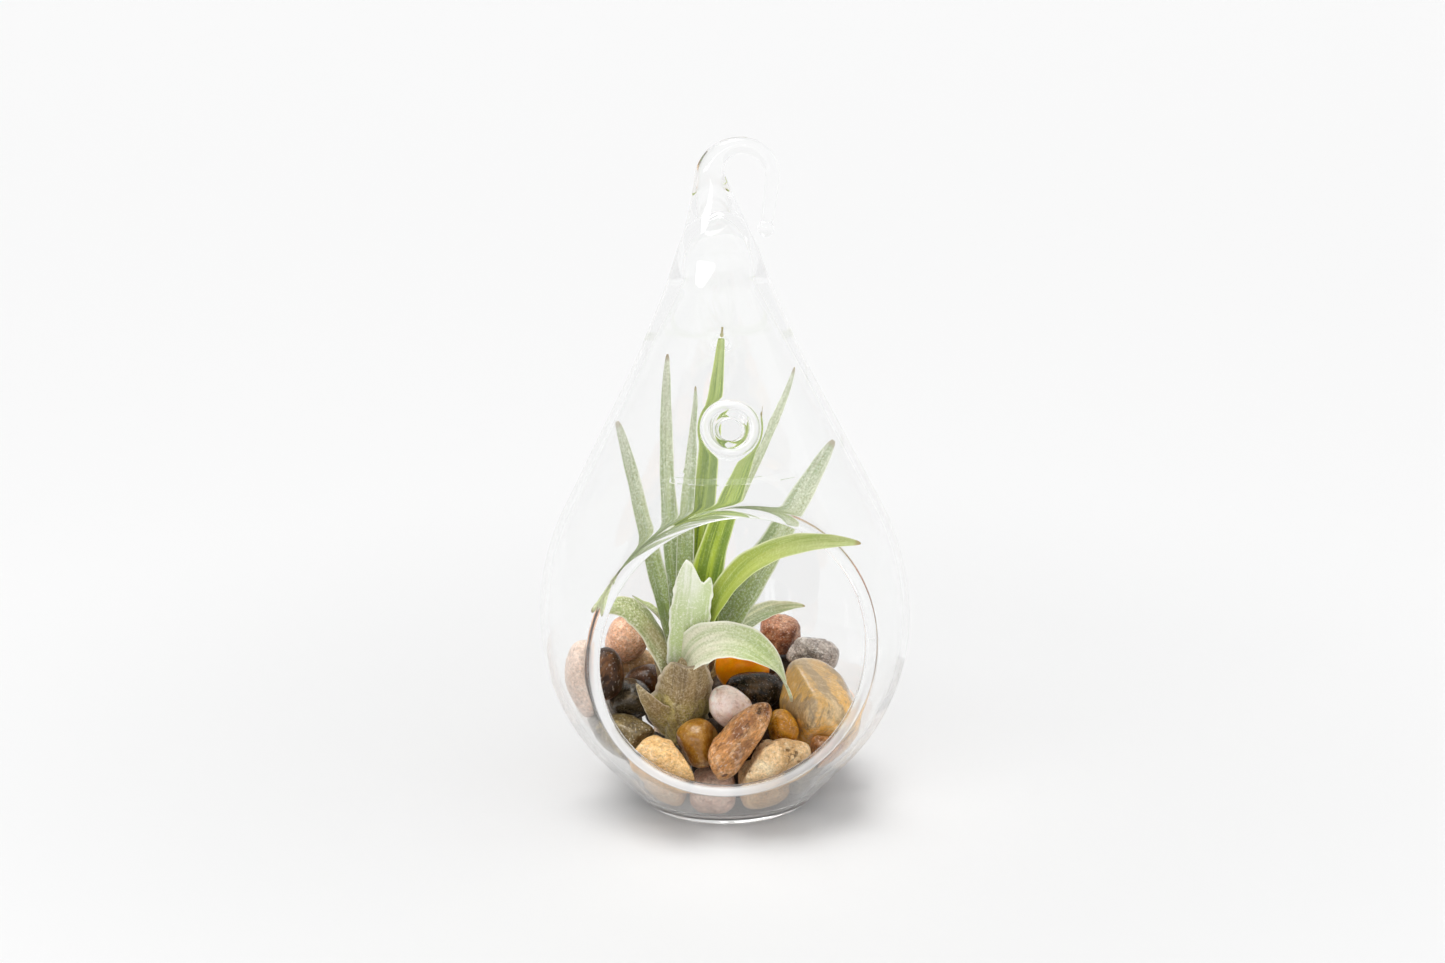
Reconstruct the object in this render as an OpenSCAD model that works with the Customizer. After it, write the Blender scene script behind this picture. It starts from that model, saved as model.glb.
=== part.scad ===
// Hand-blown teardrop globe with a side mouth and a hook, holding pebbles and an air plant

/* [Glass body] */
// Widest outside diameter of the body
globe_d = 100; // [92:1:112]
// Outside diameter of the flat base
base_d = 46; // [42:1:52]
// Height of the widest point above the base
belly_z = 52; // [48:1:56]
// Slope of the wall above the base, from upright
foot_angle = 42; // [40:1:45]
// Radius of the side arc above the belly
upper_arc_r = 68; // [62:1:74]
// Slope of the straight shoulder, from upright
shoulder_angle = 26.5; // [25:0.5:28]
// Length of the straight shoulder
shoulder_len = 38; // [34:1:42]
// Radius of the hollow arc that sweeps into the neck
neck_arc_r = 258; // [230:2:300]
// Height at which the body goes over into the solid neck
neck_z = 154; // [150:1:158]
// Thickness of the glass wall
wall = 2; // [1.6:0.1:2.6]
// Thickness of the glass floor
floor_t = 2.5; // [2:0.1:4]
// Radius of the round top end of the hollow
hollow_tip_r = 3.5; // [2.5:0.1:4.5]

/* [Mouth] */
// Diameter of the side mouth along the middle of its lip
mouth_d = 72; // [66:1:74]
// Height at which the mouth's axis crosses the body's middle plane
mouth_z = 40; // [38:1:43]
// Sideways place of that crossing
mouth_shift = -4.8; // [-6:0.1:2]
// Upward tilt of the mouth's axis
mouth_tilt = 21.5; // [18:0.5:24]
// Turn of the mouth's axis to the right
mouth_turn = 11.5; // [6:0.5:14]
// Thickness of the fire-rounded lip
lip_d = 3.3; // [2.8:0.1:4]

/* [Vents] */
// Diameter of the clear hole in each vent
vent_hole_d = 5.6; // [4.6:0.1:6.4]
// Height of the front vent
front_vent_z = 113; // [108:0.5:118]
// Outside diameter of the front vent's ring
front_vent_d = 14.8; // [13:0.1:16]
// Height of the back vent
back_vent_z = 124; // [122:0.5:127]
// Outside diameter of the back vent's ring
back_vent_d = 11.2; // [10.6:0.1:12.4]

/* [Hook] */
// Thickness of the hook's rod over the crown
rod_d = 4.4; // [3.6:0.1:5.2]
// Thickness of the drawn-out end above the ball
rod_end_d = 3.1; // [2.4:0.1:3.8]
// Diameter of the ball at the hook's end
ball_d = 4.5; // [3.8:0.1:4.8]
// Radius of the crown's bend along the middle of the rod
crown_r = 8.2; // [7.6:0.1:10]
// Height of the bend's centre
crown_z = 173.4; // [170:0.2:178]
// Sideways place of the bend's centre
crown_x = 6.4; // [6:0.1:9]
// Height of the ball's centre
ball_z = 159.4; // [159:0.2:164]
// Lean of the hook's free leg towards the neck
leg_lean = 8; // [4:1:9]

/* [Plant] */
// Length of every leaf against the plant as found
leaf_reach = 1; // [0.9:0.01:1]
// Width of every leaf against the plant as found
leaf_breadth = 1; // [0.7:0.05:1.1]
// Thickness of a leaf at its middle
leaf_t = 0.9; // [0.7:0.1:1.2]

/* [Pebbles] */
// Gap kept between pebbles, and between pebbles and glass
pebble_gap = 0.2; // [0.1:0.05:0.4]

/* [Hidden] */
$fn = 96;
globe_r = globe_d / 2;
base_r = base_d / 2;
mouth_r = mouth_d / 2;
lip_r = lip_d / 2;

// Radius of the side arc under the belly, which meets the belly upright and the foot at its slope
lower_arc_r = (belly_z * sin(foot_angle) - (globe_r - base_r) * cos(foot_angle)) / (1 - cos(foot_angle));
shoulder_start = [globe_r - upper_arc_r * (1 - cos(shoulder_angle)), belly_z + upper_arc_r * sin(shoulder_angle)];
shoulder_end = shoulder_start + shoulder_len * [-sin(shoulder_angle), cos(shoulder_angle)];
neck_arc_centre = shoulder_end + neck_arc_r * [cos(shoulder_angle), sin(shoulder_angle)];

// Thickness of each vent's round ring, of its inner edge, and how far it sits into the wall
vent_ring_t = 3;
vent_edge_t = 1.6;
vent_sink = 0.3;
// Direction of each vent round the axis, from the right
front_vent_turn = -85;
back_vent_turn = 89;
// How the neck thins towards the rod
neck_taper = 1.65;
// Sides and steps of the hook and of the lip
hook_sides = 20;
lip_sides = 10;
lip_steps = 60;
// Steps of the round outline from foot to shoulder, and of the sweep into the neck
belly_steps = 14;
neck_steps = 5;

// The pile was laid out in a hollow of this width, and follows the hollow's real width
pile_width = 96;
pile_scale = (globe_d - 2 * wall) / pile_width;
// Least distance from a pebble's middle to the inside of the glass
pebble_hold = 3;
// Rows and columns of corners on a pebble
pebble_rows = 7;
pebble_cols = 11;
// Squareness of a pebble, and how sharply it turns into its seats
pebble_square = 2.3;
seat_sharpness = 10;

// Steps along a leaf, and its width where it leaves the stem against its full width
leaf_steps = 10;
root_spread = 0.8;

// Pebbles: name, middle, half sizes, turn and colour, as laid out in the pile
pebbles = [
    ["pebble_pink_grey", [-38, -9, 37], [6, 9, 12], [0, 0, 13], [0.72, 0.62, 0.58]],
    ["pebble_dark_brown", [-32, -17, 42], [5, 5, 7.5], [0, 0, 30], [0.3, 0.24, 0.2]],
    ["pebble_red_brown", [-27, 6, 43], [6, 7, 6.5], [0, 20, 0], [0.55, 0.36, 0.28]],
    ["pebble_tan_small", [-25, 9, 34], [6, 5.5, 5], [0, 0, 20], [0.7, 0.55, 0.4]],
    ["pebble_grey_brown", [-22, -1, 33], [6.5, 6, 5], [0, 0, 0], [0.5, 0.42, 0.37]],
    ["pebble_dark_grey", [-25.8, -13, 33], [6.5, 6.5, 5.5], [0, 0, 20], [0.28, 0.27, 0.27]],
    ["pebble_dark_olive", [-27, -21.5, 26], [10, 6, 5.5], [0, 10, -35], [0.34, 0.34, 0.3]],
    ["pebble_tan_front", [-18.5, -29, 20], [15, 8, 8], [0, 12, -28], [0.78, 0.62, 0.42]],
    ["pebble_olive", [-7.5, -24.5, 24.5], [7, 6, 7], [0, 0, 0], [0.6, 0.48, 0.3]],
    ["pebble_quartz", [1, -20, 33], [6, 5.5, 6.5], [0, -20, 0], [0.76, 0.66, 0.62]],
    ["pebble_brown_long", [3, -29, 26.5], [16.5, 6.3, 6.2], [0, -47, 12], [0.56, 0.38, 0.24]],
    ["pebble_tan_ridged", [13.2, -29.5, 20.5], [13.5, 7.2, 8.5], [0, -12, 20], [0.7, 0.56, 0.38]],
    ["pebble_ochre", [24.5, -15.5, 29.8], [11.5, 10.5, 15.3], [0, -25, 0], [0.72, 0.55, 0.3]],
    ["pebble_amber_small", [15, -22.5, 27], [4.5, 4.5, 6], [0, 0, 0], [0.66, 0.45, 0.2]],
    ["pebble_rust", [26, -25, 22], [5.5, 5, 5], [0, 0, 40], [0.55, 0.36, 0.24]],
    ["pebble_black", [8, -8, 32.5], [8.5, 6, 5.2], [0, 8, 0], [0.24, 0.23, 0.2]],
    ["pebble_orange", [4.5, 3, 35.5], [7.5, 7, 7], [0, 0, 0], [0.85, 0.52, 0.12]],
    ["pebble_maroon", [15.5, 17, 39], [6.5, 6.5, 7], [0, 0, 0], [0.5, 0.28, 0.24]],
    ["pebble_slate", [23.5, 10, 36], [8.5, 6.5, 5.5], [0, 15, 20], [0.36, 0.34, 0.34]],
    ["pebble_beige_low", [-17, -18, 11], [8, 7, 7], [0, 0, -40], [0.75, 0.62, 0.52]],
    ["pebble_purple_low", [-4, -20, 9.5], [7.5, 7, 6.5], [0, 0, 0], [0.5, 0.44, 0.44]],
    ["pebble_tan_low", [9, -20, 11], [7.5, 7, 7], [0, 0, 20], [0.7, 0.58, 0.42]],
    ["pebble_grey_low", [21, -12, 12], [8, 7, 7], [0, 0, 55], [0.5, 0.48, 0.46]],
    ["pebble_floor_middle", [0, -3, 8.5], [10.5, 10.5, 6.5], [0, 0, 0], [0.5, 0.42, 0.36]],
    ["pebble_floor_left", [-20, -2, 12], [8, 10, 7.5], [0, 0, 0], [0.44, 0.4, 0.38]],
    ["pebble_floor_right", [21, 3, 12], [8, 9, 7.5], [0, 0, 0], [0.6, 0.5, 0.4]],
    ["pebble_floor_back_left", [-11, 14, 10.5], [10, 9, 8.5], [0, 0, 20], [0.56, 0.44, 0.34]],
    ["pebble_floor_back_right", [9, 15, 11], [10, 8, 8], [0, 0, -20], [0.42, 0.38, 0.36]],
    ["pebble_mid_left", [-31, -5, 23], [8, 9.5, 7.5], [0, 20, 0], [0.46, 0.38, 0.32]],
    ["pebble_mid_left_back", [-30, 12, 24], [8.5, 10, 8.5], [0, 15, -20], [0.6, 0.5, 0.42]],
    ["pebble_back_left", [-19, 26, 24], [10, 8.5, 8.5], [0, 0, 38], [0.4, 0.36, 0.34]],
    ["pebble_back", [-2, 31, 24], [10, 8, 8.5], [0, 0, 0], [0.62, 0.52, 0.4]],
    ["pebble_back_right", [14, 28, 25], [9, 8.5, 8.5], [0, 0, -25], [0.48, 0.4, 0.34]],
    ["pebble_right_back", [25, 18, 18.5], [8, 9, 7.5], [0, 0, 30], [0.56, 0.42, 0.32]],
    ["pebble_right", [29, 2, 22], [8, 9.5, 8], [0, -20, 0], [0.42, 0.4, 0.38]],
    ["pebble_right_front", [29.5, -12, 20], [7, 7.5, 6.5], [0, -20, -20], [0.58, 0.46, 0.36]],
    ["pebble_mid_front", [9, -10, 21], [8.5, 8, 7.5], [0, 0, 0], [0.52, 0.44, 0.38]],
    ["pebble_under_quartz", [-4, -14, 20.5], [7.5, 7, 6.5], [0, 0, 0], [0.4, 0.36, 0.34]],
    ["pebble_mid_middle", [-14, 3, 23], [9, 8.5, 8], [0, 0, 0], [0.55, 0.46, 0.4]],
    ["pebble_under_orange", [2, 10, 24], [9.5, 8.5, 8], [0, 0, 0], [0.48, 0.4, 0.36]],
    ["pebble_mid_right", [17, 5, 24], [8.5, 9, 9.5], [0, 0, 0], [0.62, 0.54, 0.46]],
    ["pebble_under_maroon", [15.5, 16.5, 28.5], [7.5, 7, 7], [0, 0, 0], [0.5, 0.4, 0.34]],
    ["pebble_behind_plant", [-11, 14.5, 33.5], [9, 8, 8.5], [0, 0, 0], [0.5, 0.42, 0.36]]
];

// Unit vector of v
function unit(v) = v / norm(v);

// Radius of the body at height z, with its surface moved inwards by t
function body_r(z, t) =
    z < belly_z - (lower_arc_r - t) * sin(foot_angle)
        ? base_r - t * cos(foot_angle) + (z - t * sin(foot_angle)) * tan(foot_angle)
    : z < belly_z ? globe_r - lower_arc_r + sqrt(pow(lower_arc_r - t, 2) - pow(z - belly_z, 2))
    : z < belly_z + (upper_arc_r - t) * sin(shoulder_angle)
        ? globe_r - upper_arc_r + sqrt(pow(upper_arc_r - t, 2) - pow(z - belly_z, 2))
    : z < shoulder_end.y || t > 0
        ? shoulder_start.x - t / cos(shoulder_angle) - (z - shoulder_start.y) * tan(shoulder_angle)
    : neck_arc_centre.x - sqrt(pow(neck_arc_r, 2) - pow(z - neck_arc_centre.y, 2));

// Slope of the outside from upright, at a height above the shoulder's start
function wall_slope(z) =
    z < shoulder_end.y ? shoulder_angle : asin((neck_arc_centre.y - z) / neck_arc_r);

// Outline corners from height z0 up to z1, with the surface moved inwards by t
function outline(t, z0, z1, n) = [for (i = [0:n]) let (z = z0 + (z1 - z0) * i / n) [body_r(z, t), z]];

// Height at which the belly's round starts, with the surface moved inwards by t
function belly_start(t) = belly_z - (lower_arc_r - t) * sin(foot_angle);

// Half outline of the outside, up to the flat where the solid neck starts
module outer_half() {
    polygon(concat(
        [[0, 0], [base_r, 0]],
        outline(0, belly_start(0), shoulder_start.y, belly_steps),
        outline(0, shoulder_end.y, neck_z, neck_steps),
        [[0, neck_z]]
    ));
}

// Half outline of the hollow, which runs straight up to a round tip
module inner_half() {
    start = [globe_r - upper_arc_r, belly_z] + (upper_arc_r - wall) * [cos(shoulder_angle), sin(shoulder_angle)];
    tip_z = start.y + (start.x * cos(shoulder_angle) - hollow_tip_r) / sin(shoulder_angle);
    polygon(concat(
        [[0, floor_t], [body_r(floor_t, wall), floor_t]],
        outline(wall, belly_start(wall), start.y, belly_steps),
        [for (i = [0:4]) let (a = shoulder_angle + (90 - shoulder_angle) * i / 5)
            [0, tip_z] + hollow_tip_r * [cos(a), sin(a)]],
        [[0, tip_z + hollow_tip_r]]
    ));
}

// Directions of the mouth: to its side, up its face, and out of it
mouth_side = [cos(mouth_turn), sin(mouth_turn), 0];
mouth_up = [-sin(mouth_turn) * sin(mouth_tilt), cos(mouth_turn) * sin(mouth_tilt), cos(mouth_tilt)];
mouth_out = [sin(mouth_turn) * cos(mouth_tilt), -cos(mouth_turn) * cos(mouth_tilt), sin(mouth_tilt)];
mouth_centre = [mouth_shift, 0, mouth_z];

// Distance from start, along the mouth's axis, at which the middle of the wall is met
function to_wall(start, low, high, steps) =
    let (mid = (low + high) / 2, p = start + mid * mouth_out)
    steps == 0 ? mid
    : norm([p.x, p.y]) < body_r(p.z, wall / 2) ? to_wall(start, mid, high, steps - 1)
    : to_wall(start, low, mid, steps - 1);

// Point at angle a on the line along which the mouth's cylinder meets the wall
function lip_point(a) =
    let (start = mouth_centre + mouth_r * (cos(a) * mouth_side + sin(a) * mouth_up))
    start + to_wall(start, 0, 2 * globe_r, 30) * mouth_out;

// Faces of a skin over rings of points, closed round the rings, and end to end if looped
function skin_faces(rings, sides, looped) =
    [for (i = [0:rings - (looped ? 1 : 2)], j = [0:sides - 1])
        let (k = (j + 1) % sides, n = (i + 1) % rings)
        each [[i * sides + j, i * sides + k, n * sides + k], [i * sides + j, n * sides + k, n * sides + j]]];

// Faces of a skin whose two end rings are closed by flat caps
function capped_faces(rings, sides) =
    concat(
        [[for (j = [sides - 1:-1:0]) j]],
        skin_faces(rings, sides, false),
        [[for (j = [0:sides - 1]) (rings - 1) * sides + j]]
    );

// Round lip, a tube along the line where the mouth meets the wall
module mouth_lip() {
    points = [for (i = [0:lip_steps - 1])
        let (
            a = i * 360 / lip_steps,
            along = unit(lip_point(a + 1) - lip_point(a - 1)),
            radial = cos(a) * mouth_side + sin(a) * mouth_up,
            side = unit(radial - (radial * along) * along),
            up = cross(along, side)
        )
        for (j = [0:lip_sides - 1])
            lip_point(a) + lip_r * (cos(j * 360 / lip_sides) * side - sin(j * 360 / lip_sides) * up)];
    polyhedron(points, skin_faces(lip_steps, lip_sides, true));
}

// Middle of the wall where a vent stands
function vent_place(z, turn) =
    let (slope = wall_slope(z), r = body_r(z, 0) - wall / 2 * cos(slope))
    [r * cos(turn), r * sin(turn), z - wall / 2 * sin(slope)];

// Moves its children to the middle of the wall at a height and direction, with +Z out of the wall
module on_wall(z, turn) {
    translate(vent_place(z, turn))
        rotate([0, 90 - wall_slope(z), turn]) children();
}

// Radius of the middle of a vent's round ring
function vent_ring_r(d) = (d - vent_ring_t) / 2;

// Bore that is cut from the wall under a vent's ring
module vent_bore(z, turn, d) {
    on_wall(z, turn) cylinder(r = vent_ring_r(d), h = 4 * wall, center = true);
}

// Vent ring, a round bead outside and a thinner rounded edge round the clear hole
module vent_ring(z, turn, d) {
    edge_r = (vent_hole_d + vent_edge_t) / 2;
    on_wall(z, turn)
        translate([0, 0, -vent_sink])
            rotate_extrude() {
                translate([vent_ring_r(d), 0]) circle(d = vent_ring_t);
                translate([edge_r, 0]) circle(d = vent_edge_t);
                translate([edge_r, -vent_edge_t / 2]) square([vent_ring_r(d) - edge_r, vent_edge_t]);
            }
}

// Hook: a straight lean from the neck, a bend over the crown, and a leg that ends in a ball
crown_reach = norm([crown_x, crown_z - neck_z]);
neck_lean = atan2(crown_x, crown_z - neck_z) - asin(crown_r / crown_reach);
lean_len = sqrt(pow(crown_reach, 2) - pow(crown_r, 2));
bend_len = crown_r * (180 + leg_lean - neck_lean) * PI / 180;
bend_end_z = crown_z - crown_r * sin(leg_lean);
leg_len = (bend_end_z - ball_z) / cos(leg_lean);
hook_len = lean_len + bend_len + leg_len;
crown_len = lean_len + crown_r * (90 - neck_lean) * PI / 180;
ball_r = ball_d / 2;

// Heading of the hook at a length along it: 0 is up, 90 to the right, 180 down
function hook_heading(s) =
    s < lean_len ? neck_lean : min(180 + leg_lean, neck_lean + (s - lean_len) / crown_r * 180 / PI);

// Middle of the hook's rod at a length along it
function hook_middle(s) =
    let (a = hook_heading(s), bend = [crown_x - crown_r * cos(a), 0, crown_z + crown_r * sin(a)])
    s < lean_len ? [s * sin(a), 0, neck_z + s * cos(a)]
    : bend + max(0, s - lean_len - bend_len) * [sin(a), 0, cos(a)];

// Radius of the rod at a length along the hook
function hook_r(s) =
    s < crown_len ? rod_d / 2 + (body_r(neck_z, 0) - rod_d / 2) * pow(1 - max(0, s) / crown_len, neck_taper)
    : let (thin = rod_d / 2 + (rod_end_d - rod_d) / 2 * (s - crown_len) / (hook_len - crown_len))
    max(s > hook_len ? 0 : thin, sqrt(max(0, pow(ball_r, 2) - pow(s - hook_len, 2))));

// One ring of the hook's skin, whose tilt grows from level at the neck
function hook_ring(s) =
    let (
        a = hook_heading(s) * min(1, max(0, s) / 6),
        side = [cos(a), 0, -sin(a)],
        m = hook_middle(s)
    )
    [for (j = [0:hook_sides - 1])
        m + hook_r(s) * (cos(j * 360 / hook_sides) * side + sin(j * -360 / hook_sides) * [0, 1, 0])];

module hook() {
    stations = concat(
        [-1, 1, 3.5],
        [for (i = [2:6]) lean_len * i / 6],
        [for (i = [1:15]) lean_len + bend_len * i / 15],
        [for (i = [1:2]) lean_len + bend_len + (leg_len - ball_r) * i / 2],
        [for (a = [140:-20:20]) hook_len - ball_r * cos(180 - a)]
    );
    rings = [for (s = stations) hook_ring(s)];
    polyhedron([for (r = rings) each r], capped_faces(len(rings), hook_sides));
}

module glass_globe() {
    color([0.84, 0.92, 0.94, 0.35]) {
        difference() {
            rotate_extrude() outer_half();
            rotate_extrude() inner_half();
            multmatrix([
                [mouth_side.x, mouth_up.x, mouth_out.x, mouth_centre.x],
                [mouth_side.y, mouth_up.y, mouth_out.y, mouth_centre.y],
                [mouth_side.z, mouth_up.z, mouth_out.z, mouth_centre.z],
                [0, 0, 0, 1]
            ]) cylinder(r = mouth_r, h = 2 * globe_r);
            vent_bore(front_vent_z, front_vent_turn, front_vent_d);
            vent_bore(back_vent_z, back_vent_turn, back_vent_d);
        }
        mouth_lip();
        vent_ring(front_vent_z, front_vent_turn, front_vent_d);
        vent_ring(back_vent_z, back_vent_turn, back_vent_d);
        hook();
    }
}

// Stem from its foot to its heart: middle and radius of each rounded length
stem = [
    [[-14, -14, 21.5], 2.6],
    [[-13.6, -14, 25], 4],
    [[-13, -14, 29], 5.4],
    [[-12.2, -14, 33.5], 6.4],
    [[-11.2, -13.8, 38], 6.8],
    [[-10.2, -12.9, 42.5], 6],
    [[-9.2, -12.2, 47], 5.2],
    [[-8.2, -11.6, 51.5], 4.2],
    [[-7.4, -11.2, 56], 3.2]
];

// The plant stands on the pile, so it spreads and rises with it
function with_pile(p) = [p.x * pile_scale, p.y * pile_scale, p.z + (pile_scale - 1) * stem[0][0].z];

// Leaves: four points from root to tip, turn and rise of the left edge, width, cup and taper
tall_tip = vent_place(back_vent_z, back_vent_turn) + [0.5, 2.5, 4];
leaves = [
    [[-12, -12, 43], [-18.3, -9, 66], [-22.8, -6, 87], [-27.4, -2, 108], 225, 0, 7.5, 1.2, 0.35],
    [[-11, -10, 45], [-14, -5, 73], [-15, 0, 99], [-14, 5, 125], 205, 0, 6.2, 1, 0.4],
    [[-9, -10, 46], [-10.5, -6, 72], [-8.5, -3, 95.5], [-6.6, 0, 117], 195, 0, 6, 1, 0.55],
    [[-8, -10, 46], [-6.6, -4, 72], [-3, 6, 100], tall_tip, 185, 0, 9, 1.6, 0.5],
    [[-6, -13, 48], [-3, -12, 73], [4, -9, 92], [10.5, -6, 111], 165, 0, 10.5, 2, 0.65],
    [[-6.5, -11.5, 50], [-0.5, -8, 74], [6, -6, 94], [11, -4, 112], 150, 0, 5, 1, 0.8],
    [[-5, -9, 48], [0, -5, 76], [10, 0, 97], [20.2, 4, 121], 150, 0, 5.5, 1, 0.45],
    [[-4, -10, 47], [7, -7, 63], [18, -2, 80], [30.2, 2, 100.5], 150, 0, 11.5, 1.6, 0.4],
    [[-6, -14, 47], [3, -23, 70], [17, -36, 83.4], [35, -49, 88.5], 100, 40, 10.5, 2, 0.5],
    [[-4, -11, 45], [5, -5, 51], [13, 2, 52.3], [22, 8, 51], 100, 35, 8, 2.4, 0.55],
    [[-10.5, -16.5, 41], [-4.4, -22.5, 52.4], [7.6, -28, 52.6], [17, -31, 38.5], 122, 47, 12.5, 1.7, 0.36],
    [[-12, -13, 38], [-19, -16.5, 54], [-26, -18.5, 61.5], [-35, -20, 61], 90, 60, 10, 1.6, 0.45],
    [[-10.2, -15, 42], [-9.5, -17.5, 57], [-8.4, -18, 65], [-7.4, -18, 74.5], 180, 0, 12, 2, 0.12],
    [[-13, -15, 25], [-16.5, -18.5, 29], [-20, -22, 34.5], [-24, -24, 42], 0, 33, 10, 1.2, 0.7],
    [[-12, -10, 44], [-17, -6, 53], [-21, -3, 56], [-25, 0, 58], 255, 0, 5.5, 1, 0.6],
    [[-14, -15.5, 24], [-12.2, -19, 31], [-10.9, -20.8, 38.5], [-10, -21.3, 45.8], 0, 0, 18, 5.5, 0.2],
    [[-14, -13, 27], [-17, -13.5, 35], [-18.5, -14.5, 42], [-20, -15.5, 49], 270, 0, 9, 2, 0.4]
];

// Point of a leaf's midrib at t, from root 0 to tip 1, on the cubic through its four points
function midrib(leaf, t) =
    with_pile(
        -4.5 * (t - 1 / 3) * (t - 2 / 3) * (t - 1) * leaf[0] + 13.5 * t * (t - 2 / 3) * (t - 1) * leaf[1]
        - 13.5 * t * (t - 1 / 3) * (t - 1) * leaf[2] + 4.5 * t * (t - 1 / 3) * (t - 2 / 3) * leaf[3]
    );

// One ring of a leaf's skin: thin edges, a thicker middle, and edges that cup upwards
function leaf_ring(leaf, t) =
    let (
        along = unit(midrib(leaf, t + 0.01) - midrib(leaf, t - 0.01)),
        flat = [cos(leaf[4]) * cos(leaf[5]), sin(leaf[4]) * cos(leaf[5]), sin(leaf[5])],
        side = unit(flat - (flat * along) * along),
        up = cross(along, side),
        spread = max(0.04, pow(1 - t, leaf[8]) * min(1, root_spread + 3 * t)),
        half = leaf[6] / 2 * leaf_breadth * spread,
        thick = leaf_t * max(0.25, spread)
    )
    [for (e = [[1, 0], [0.5, -0.5], [0, -0.5], [-0.5, -0.5], [-1, 0], [-0.5, 0.5], [0, 0.5], [0.5, 0.5]])
        midrib(leaf, t) + half * e.x * side
        + (leaf[7] * spread * e.x * e.x + thick * e.y * (1.15 - e.x * e.x)) * up];

module leaf(l) {
    rings = [for (i = [0:leaf_steps]) leaf_ring(l, leaf_reach * i / leaf_steps)];
    polyhedron([for (r = rings) each r], capped_faces(leaf_steps + 1, 8));
}

module stem_length(i) {
    hull() {
        translate(with_pile(stem[i][0])) sphere(stem[i][1], $fn = 16);
        translate(with_pile(stem[i + 1][0])) sphere(stem[i + 1][1], $fn = 16);
    }
}

module air_plant() {
    color([0.62, 0.74, 0.45]) {
        for (i = [0:len(stem) - 2]) stem_length(i);
        for (l = leaves) leaf(l);
    }
}

// Vector v turned by angles a, first about x, then y, then z
function turned(v, a) =
    let (
        p = [v.x, v.y * cos(a.x) - v.z * sin(a.x), v.y * sin(a.x) + v.z * cos(a.x)],
        q = [p.x * cos(a.y) + p.z * sin(a.y), p.y, p.z * cos(a.y) - p.x * sin(a.y)]
    )
    [q.x * cos(a.z) - q.y * sin(a.z), q.x * sin(a.z) + q.y * cos(a.z), q.z];

// Middle of a pebble, moved towards the axis where the glass would come too near
function pebble_middle(p) =
    let (c = pile_scale * p[1], inward = (body_r(c.z, wall) - pebble_hold) / max(norm([c.x, c.y]), pebble_hold))
    [c.x * min(1, inward), c.y * min(1, inward), c.z];

// How far a pebble's round form reaches from its middle in direction n
function reach(p, n) =
    pile_scale * norm([
        p[2].x * (turned([1, 0, 0], p[3]) * n),
        p[2].y * (turned([0, 1, 0], p[3]) * n),
        p[2].z * (turned([0, 0, 1], p[3]) * n)
    ]);

// Extra inset where the mouth's lip stands in from the wall, at point p
function lip_inset(p) =
    let (from = p - mouth_centre, off = norm(from - (from * mouth_out) * mouth_out) - mouth_r)
    from * mouth_out < 0 ? 0 : (lip_r - wall / 2 + 0.2) * max(0, 1 - pow(off / (2.4 * lip_r), 2));

// Length from start in direction d at which a pebble meets the inside of the glass
function to_glass(start, d, low, high, steps) =
    let (mid = (low + high) / 2, p = start + mid * d)
    steps == 0 ? low
    : norm([p.x, p.y]) < body_r(p.z, wall + pebble_gap + lip_inset(p)) ? to_glass(start, d, mid, high, steps - 1)
    : to_glass(start, d, low, mid, steps - 1);

// Planes that bound a pebble, each a direction and its distance: neighbours share the gap between them
function seats(p) =
    let (c = pebble_middle(p))
    concat(
        [[[0, 0, -1], c.z - floor_t - pebble_gap]],
        [for (s = stem) let (to = with_pile(s[0]) - c) if (norm(to) < 26) [unit(to), norm(to) - s[1] - pebble_gap]],
        [for (q = pebbles) let (to = pebble_middle(q) - c, n = unit(to))
            if (q[0] != p[0] && norm(to) < 26)
                [n, norm(to) * reach(p, n) / (reach(p, n) + reach(q, n)) - pebble_gap / 2]]
    );

// Corner of a pebble: a squared round form with soft lumps, held back smoothly by its seats
function pebble_corner(p, seats, k, lat, lon) =
    let (
        ball = [cos(lat) * cos(lon), cos(lat) * sin(lon), sin(lat)],
        own = unit([p[2].x * ball.x, p[2].y * ball.y, p[2].z * ball.z]),
        d = turned(own, p[3]),
        c = pebble_middle(p),
        free = pile_scale * pow(
            pow(abs(own.x) / p[2].x, pebble_square) + pow(abs(own.y) / p[2].y, pebble_square)
            + pow(abs(own.z) / p[2].z, pebble_square), -1 / pebble_square
        ) * (1 + 0.03 * (sin(200 * own.x + 97 * k) + sin(230 * own.y + 51 * k) + sin(170 * own.z + 143 * k))),
        glass = to_glass(c, d, 0, 2 * free, 14),
        limits = concat([free, glass], [for (s = seats) if (d * s[0] > 0.02) s[1] / (d * s[0])]),
        held = pow(addl([for (l = limits) pow(l / free, -seat_sharpness)]), -1 / seat_sharpness)
    )
    c + free * held * d;

// Sum of a list
function addl(v, i = 0) = i < len(v) ? v[i] + addl(v, i + 1) : 0;

module pebble(k) {
    p = pebbles[k];
    bounds = seats(p);
    points = concat(
        [pebble_corner(p, bounds, k, -90, 0)],
        [for (i = [1:pebble_rows - 1], j = [0:pebble_cols - 1])
            pebble_corner(p, bounds, k, -90 + 180 * i / pebble_rows, 360 * (j + 0.5 * (i % 2)) / pebble_cols)],
        [pebble_corner(p, bounds, k, 90, 0)]
    );
    last = len(points) - 1;
    below = [for (j = [0:pebble_cols - 1]) [0, 1 + j, 1 + (j + 1) % pebble_cols]];
    above = [for (j = [0:pebble_cols - 1]) [last, last - pebble_cols + (j + 1) % pebble_cols, last - pebble_cols + j]];
    sides = [for (f = skin_faces(pebble_rows - 1, pebble_cols, false)) [f[2] + 1, f[1] + 1, f[0] + 1]];
    color(p[4]) polyhedron(points, concat(below, sides, above));
}

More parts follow.
